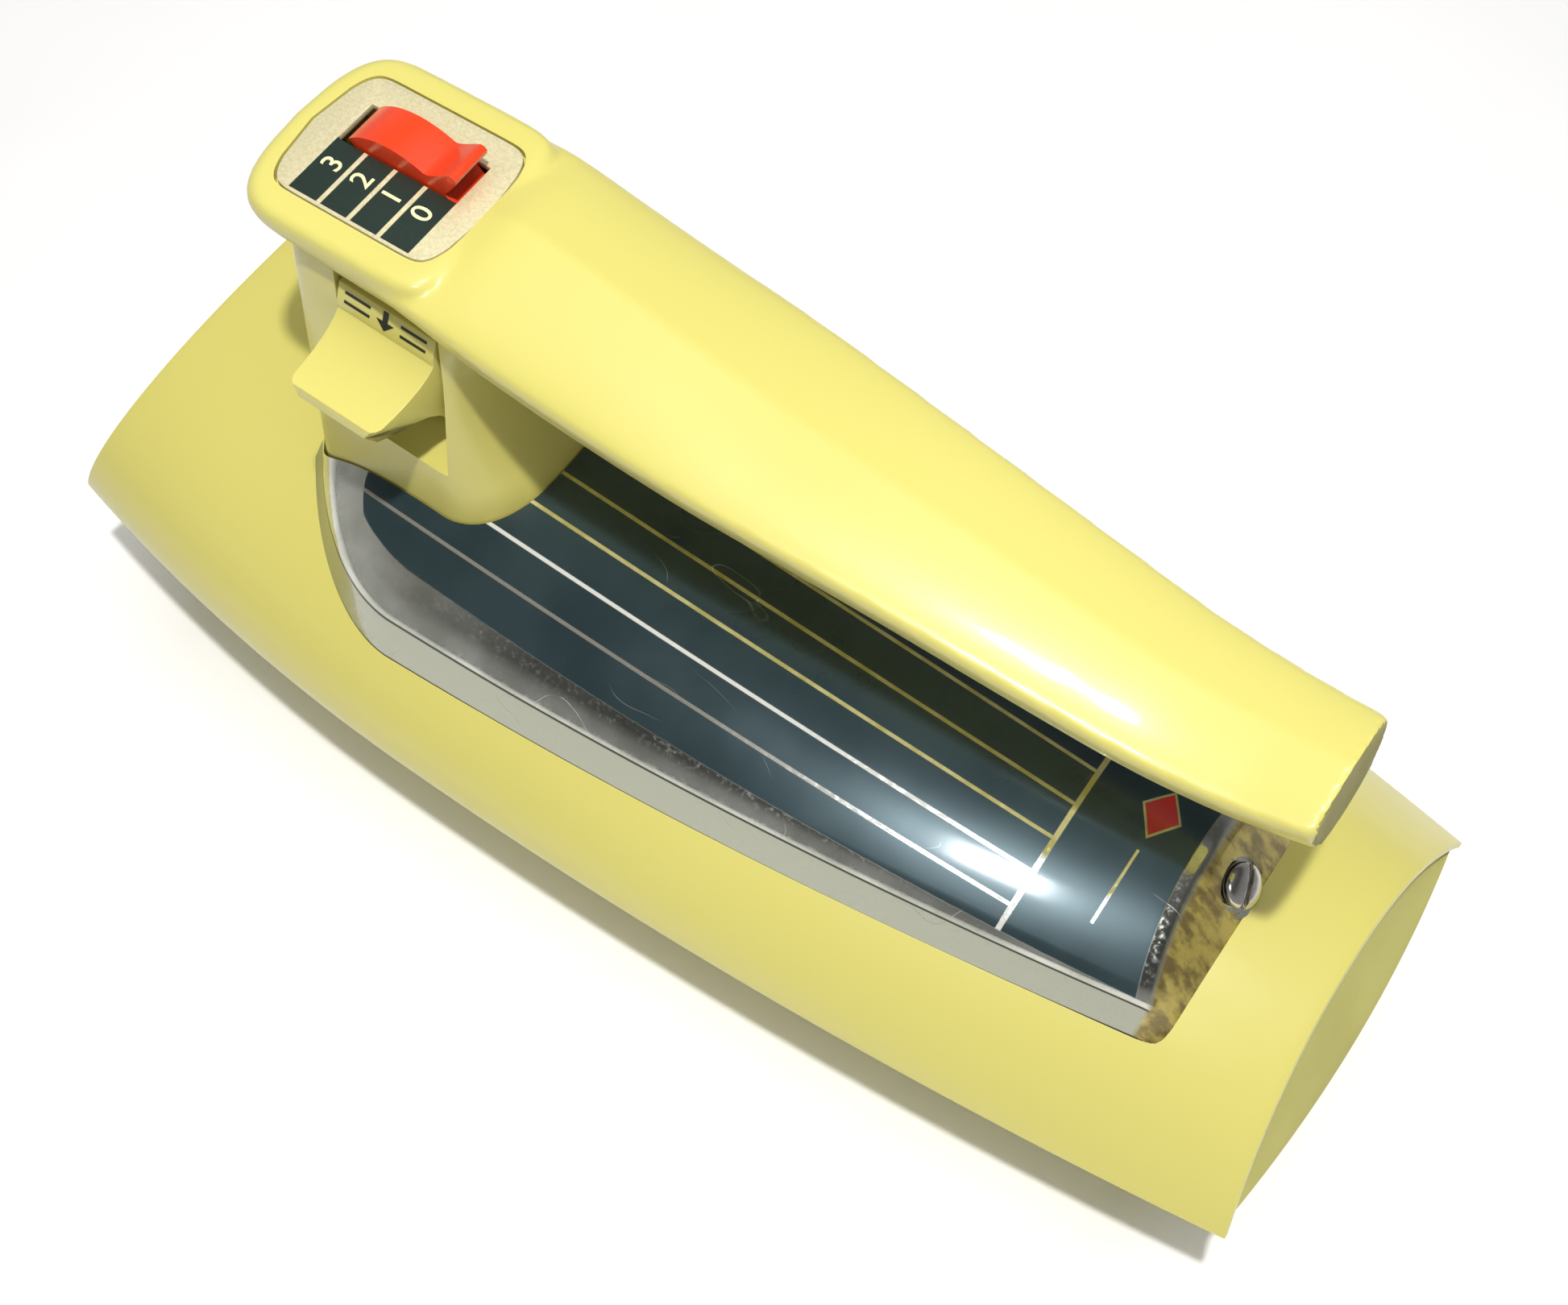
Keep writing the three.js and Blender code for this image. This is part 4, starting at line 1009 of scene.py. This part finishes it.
def make_handle():
    body = grip("handle_body", 0, -56, GRIP_END + 4)
    join(body, head(), pillar("post", 0, RIM + 12, RIM + 76), drum_pocket_cover())
    cut(body, end_cut())
    softened(body, 0.6, 4)
    cut(body, lever_recess())
    cover = add_object("grip_cover", body.data.copy())
    combine(cover, "INTERSECT", [under_region("region", GAP)])
    cut(cover, handle_hollow())
    for x in GRIP_SCREWS:
        _, widest, _, under = through(GRIP, x)
        place = shift(x, 0, RIM)
        join(cover, rod(4.6, under + 1.4, widest - 4.4, 40, place))
        cut(cover, rod(3.1, under - 2, under + 3, 40, place),
            rod(SCREW_CLEARANCE, under, widest, 32, place))
    finish_piece(cover, YELLOW, ["handle_underside"])

    cut(body, handle_hollow(), under_region("region", 0), housing_block(GAP),
        extruded("seat", plate_outline(-GAP), -1.5, 6, on_plate),
        extruded("well", plate_outline(1.6), -4.4, 2, on_plate),
        box("well", (-67.5, -9.6, RIM + 59.6), (-43.5, 9.6, RIM + 77)),
        box("drum_way", (-70.4, DRUM_Y - 3.8, RIM + 66.6), (-60, DRUM_Y + 3.8, RIM + 77.4)),
        box("cavity", (-64, -10.5, RIM + 42.5), (-41, 7, RIM + 62)),
        rod(6, 34.5, 44, 48, shift(ROD_X, 0, RIM)),
        box("rod_way", (ROD_X - 4, -4, RIM), (ROD_X + 4, 4, RIM + 36)),
        box("arm_way", (-52.2, -19, RIM + 44.8), (-44.8, -5, RIM + 55.8)),
        rod(1.65, -9.5, 12.2, 32, axle_place(0)))
    finish_piece(body, YELLOW, ["handle_shell"])
    # faces of the handle's flat end take the darker yellow: painted shade
    body.data.materials.append(END_FACE_SHADE)
    for face in body.data.polygons:
        if face.center.x > (GRIP_END - 4) * MM and face.normal.x > 0.75:
            face.material_index = 1


def axle_place(y):
    """Turns a piece made about Z onto the thumb drum's axle."""
    return shift(PLATE_X, y, DRUM_Z) @ Matrix.Rotation(-math.pi / 2, 4, "X")


def housing_block(clearance):
    """Everything under the housing's skin, grown outwards by clearance."""
    def top(u, v):
        return canopy(2 * u - 1, 2 * v - 1, -clearance)

    def bottom(u, v):
        p = top(u, v)
        return Vector(((2 * u - 1) * HALF_LENGTH, p.y, RIM - 20))

    return slab("block", top, bottom, 81, 61)


def make_grip_screw(index, x):
    _, widest, _, under = through(GRIP, x)
    screw = turned(f"grip_screw_head_{index}",
                   [(2.0, 0), (2.5, 0.2), (2.7, 0.7), (2.7, 1.7), (1.3, 1.9),
                    (1.3, widest - under - 2.3)], 40)
    cut(screw, box("slot", (-3, -0.4, -1), (3, 0.4, 0.9)))
    screw.data.transform(shift(x, 0, RIM + under + 0.7))
    finish_piece(screw, INNER["steel"], [f"grip_screw_{index}"])


# ---- speed plate, figures and thumb drum -----------------------------
def make_plate():
    plate = extruded("speed_plate", plate_outline(0), -1.1, -0.05, on_plate)
    long, wide = SLOT_LENGTH / 2, SLOT_WIDTH / 2
    slot = [(-long, DRUM_Y - wide), (long, DRUM_Y - wide), (long, DRUM_Y + wide), (-long, DRUM_Y + wide)]
    cut(plate, extruded("slot", slot, -4, 4, on_plate))
    rounded(plate, 0.12, 2)
    finish_piece(plate, PLATE, ["switch_plate"])


def make_figures():
    """Speed figures 3 to 0, raised a hair off the plate; their tops point to the nose."""
    tilt = math.atan(PLATE_SLOPE)
    turn = Matrix(((0, -math.cos(tilt), 0, 0), (1, 0, 0, 0), (0, -math.sin(tilt), 1, 0),
                   (0, 0, 0, 1)))
    for k, figure in enumerate("3210"):
        text = bpy.data.curves.new(f"figure_{figure}", "FONT")
        text.body = figure
        text.align_x, text.align_y = "CENTER", "CENTER"
        text.size = FIGURE_HEIGHT * 1.38 * MM
        text.extrude = 0.03 * MM
        text.offset = 0.03 * MM
        text.resolution_u = 6
        made = add_object("figure_text", text)
        graph = bpy.context.evaluated_depsgraph_get()
        mesh = bpy.data.meshes.new_from_object(made.evaluated_get(graph))
        bpy.data.objects.remove(made)
        obj = add_object(f"speed_figure_{figure}", mesh)
        place = on_plate(FIELD_PITCH * (k - 1.5), FIGURE_ROW, 0.0)
        mesh.transform(shift(*place) @ turn)
        finish_piece(obj, FIGURES)


def make_drum():
    """The thumb drum: an arched sector with one raised ridge at its rear."""
    outline = []

    def arc(start, end, radius, steps):
        for k in range(steps + 1):
            angle = math.radians(lerp(start, end, k / steps))
            reach = radius(k / steps) if callable(radius) else radius
            outline.append((reach * math.sin(angle), reach * math.cos(angle)))

    # the drum's rim, the ridge up, over and down, the rim again and the hub
    arc(-44, 22, DRUM_RADIUS, 22)
    arc(23.5, 34.5, lambda t: DRUM_RADIUS + 5.0 * t ** 1.7, 7)
    arc(36, 38, DRUM_RADIUS + 5.3, 2)
    arc(39.2, 41, lambda t: DRUM_RADIUS + 4.6 - 4.4 * t, 3)
    arc(43, 95, DRUM_RADIUS, 14)
    arc(100, 250, 3.6, 14)
    arc(270, 300, 3.6, 3)
    half = SLOT_WIDTH / 2 - 0.3
    drum = extruded("thumb_drum", outline, -half, half,
                    lambda a, b, h: (PLATE_X + a, DRUM_Y + h, DRUM_Z + b))
    cut(drum, rod(1.75, -9, 9, 32, axle_place(DRUM_Y)))
    rounded(drum, 0.55, 4, 30)
    finish_piece(drum, RED, ["switch_drum"], body="switch")


# ---- ejector lever ---------------------------------------------------
LEVER_FRONT = RECESS_FRONT + 0.5
LEVER_REAR = RECESS_REAR - 0.7
LEVER_HALF = (LEVER_REAR - LEVER_FRONT) / 2
LEVER_MIDDLE = (LEVER_FRONT + LEVER_REAR) / 2


def lever_outline():
    """The lever's side view in Y and height: face, scoop, thumb tip, underside and back."""
    face_top = 0.4 - pillar_side(RIM + 70.4)
    foot = face_top - 1.5
    points = [(-12.4, 70.4), (face_top, 70.4), (foot, 67.2)]
    for turn in spread([(0.42, math.pi / 2, 22)]):
        points.append((foot + 1.1 - 12.9 * (1 - math.cos(turn)), 69.0 - 6.0 * math.sin(turn) - 0.5))
    points += [(-28.2, 60.6), (-27.3, 59.8), (-24.5, 59.2), (-21.5, 58.1), (-18.8, 56.6), (-17.0, 54.9),
               (-16.0, 53.2), (-15.7, 52), (-12.4, 52)]
    return points


def make_lever():
    outline = lever_outline()
    tip = min(y for y, _ in outline)
    layers = [-1, -0.97, -0.9, -0.6, -0.2, 0.2, 0.6, 0.9, 0.97, 1]
    rings = []
    for layer in layers:
        ring = []
        for y, z in outline:
            taper = clamp((-16 - y) / 12)
            half = LEVER_HALF - (1.4 if layer > 0 else 0.1) * taper
            corner = clamp(1 - (y - tip) / 2.6)
            half -= 2.0 * (1 - math.sqrt(max(0.0, 1 - corner ** 2)))
            ring.append((LEVER_MIDDLE + layer * half, y, RIM + z))
        rings.append(ring)
    lever = tube("ejector_thumb_lever", rings)
    rounded(lever, 0.5, 3, 40)
    join(lever, box("arm", (-51.5, -13, RIM + 52), (-45.5, 0, RIM + 55)),
         box("pad", (-54.5, -6, RIM + 52), (-45.6, 2.4, RIM + 54.9)))
    finish_piece(lever, YELLOW, ["ejector_lever"], body="ejector")


def make_arrow():
    """A plain arrow that points down, between two short bars, printed on the lever's face."""
    low, high = 67.3, 70.2
    front_high = 0.4 - pillar_side(RIM + high) - 0.1
    front_low = front_high - 1.36

    def place(a, b, h):
        z = lerp(low, high, b)
        y = lerp(front_low, front_high, b) - h
        return (LEVER_MIDDLE + a, y, RIM + z)

    marks = [[(-1.5, 0.45), (0, 0.0), (1.5, 0.45), (0.45, 0.45), (0.45, 1), (-0.45, 1), (-0.45, 0.45)]]
    for side in (-1, 1):
        for level in (0.18, 0.66):
            left, right = sorted((side * 2.7, side * 7.2))
            top = level + 0.13
            marks.append([(left, level), (right, level), (right, top), (left, top)])
    for k, mark in enumerate(marks):
        obj = extruded(f"eject_mark_{k + 1}", mark, -0.02, 0.05, place)
        finish_piece(obj, INK, body="ejector")


make_upper_housing()
make_end_panel("heel_closing_panel", "heel_panel", 1)
make_end_panel("nose_closing_panel", "nose_panel", -1)
make_lower_housing()
for number, (screw_x, screw_y) in enumerate(BASE_SCREWS, 1):
    make_base_screw(number, screw_x, screw_y)
make_deck()
make_deck_screw()
make_handle()
for number, screw_x in enumerate(GRIP_SCREWS, 1):
    make_grip_screw(number, screw_x)
make_plate()
make_figures()
make_drum()
make_lever()
make_arrow()


# ---- floor, lights and camera ----------------------------------------
FLOOR = 3000                # half the side of the paper sheet


def make_floor():
    corners = [(x * FLOOR, y * FLOOR, 0) for x, y in ((-1, -1), (1, -1), (1, 1), (-1, 1))]
    floor = new_object("floor", corners, [(0, 1, 2, 3)])
    n = Nodes("floor_paper")
    n.set(Base_Color=n.mix(n.ramp(n.noise(8, 3), 0.3, 0.7), (0.93, 0.93, 0.93), (0.96, 0.96, 0.96)))
    n.set(Roughness=0.85)
    floor.data.materials.append(n.material)


CAMERA_TARGET = Vector((4.5, 2.31, 34))
CAMERA_DISTANCE = 328.93
CAMERA_AZIMUTH = math.radians(34.97)
CAMERA_ELEVATION = math.radians(64.68)
CAMERA_ROLL = math.radians(0.46)
LENS = 46.25
SENSOR = 36


def camera_axes():
    back = Vector((math.sin(CAMERA_AZIMUTH) * math.cos(CAMERA_ELEVATION),
                   -math.cos(CAMERA_AZIMUTH) * math.cos(CAMERA_ELEVATION),
                   math.sin(CAMERA_ELEVATION)))
    right = Vector((math.cos(CAMERA_AZIMUTH), math.sin(CAMERA_AZIMUTH), 0))
    up = back.cross(right)
    c, s = math.cos(CAMERA_ROLL), math.sin(CAMERA_ROLL)
    return right * c + up * s, up * c - right * s, back


def make_camera():
    right, up, back = camera_axes()
    data = bpy.data.cameras.new("camera")
    data.lens = LENS
    data.sensor_width = SENSOR
    data.clip_start = 0.01
    camera = add_object("camera", data)
    turn = Matrix((right, up, back)).transposed().to_4x4()
    camera.matrix_world = shift(*(CAMERA_TARGET + back * CAMERA_DISTANCE)) @ turn
    bpy.context.scene.camera = camera


def make_light(name, place, aim, size, energy, colour, part):
    """A soft square lamp that gives only the diffuse or only the glossy part of the light."""
    data = bpy.data.lights.new(name, "AREA")
    data.size = size * MM
    data.energy = energy
    data.color = colour
    light = add_object(name, data)
    place, aim = Vector(place), Vector(aim)
    light.location = place * MM
    light.rotation_euler = (place - aim).to_track_quat("Z", "Y").to_euler()
    light.visible_glossy = part == "glossy"
    light.visible_diffuse = part == "diffuse"


SKY_BANDS = ((0.25, 0.50), (0.45, 0.42), (0.65, 0.15), (0.8, 0.14))
DECK_GLINT = Vector((53, -19.5, 61))
GLINT_PLACE = DECK_GLINT + Vector((0.05, -0.56, 0.83)) * 350


def make_sparkle(place, dull_pieces):
    """A glossy lamp beside the lens that skips the pieces whose mirror finish it would flood."""
    make_light("sparkle", place, CAMERA_TARGET, 30, 1.0, (1, 1, 1), "glossy")
    lit = bpy.data.collections.new("lit_by_sparkle")
    for obj in bpy.context.scene.objects:
        if obj.type == "MESH" and obj.name not in dull_pieces:
            lit.objects.link(obj)
    bpy.data.objects["sparkle"].light_linking.receiver_collection = lit


def make_lights():
    right, up, back = camera_axes()
    lamp = CAMERA_TARGET + back * 560 + up * 130 + right * 10
    make_light("key_light", lamp, CAMERA_TARGET, 20, 2.65, (1.0, 0.985, 0.955), "diffuse")
    make_sparkle(lamp, ("deck_shell", "floor"))
    make_light("glint", GLINT_PLACE, DECK_GLINT, 34, 0.5, (0.93, 0.97, 1.0), "glossy")
    make_light("overhead_fill", (0, 60, 900), (0, 0, 0), 900, 4.6, (1, 1, 1), "diffuse")
    world = bpy.data.worlds.new("studio")
    bpy.context.scene.world = world
    world.use_nodes = True
    tree = world.node_tree
    place = tree.nodes.new("ShaderNodeTexCoord")
    split = tree.nodes.new("ShaderNodeSeparateXYZ")
    ramp = tree.nodes.new("ShaderNodeValToRGB")
    tree.links.new(place.outputs["Generated"], split.inputs[0])
    tree.links.new(split.outputs["Z"], ramp.inputs["Fac"])
    tree.links.new(ramp.outputs["Color"], tree.nodes["Background"].inputs["Color"])
    bands = ramp.color_ramp.elements
    bands[0].position, bands[1].position = 0.0, 1.0
    bands[0].color, bands[1].color = (0.55, 0.55, 0.54, 1), (0.34, 0.33, 0.34, 1)
    for height, grey in SKY_BANDS:
        bands.new(height).color = (grey, grey, grey, 1)
    tree.nodes["Background"].inputs["Strength"].default_value = 0.55


make_floor()
make_camera()
make_lights()
bpy.context.scene.view_settings.view_transform = "Standard"

bpy.context.view_layer.update()
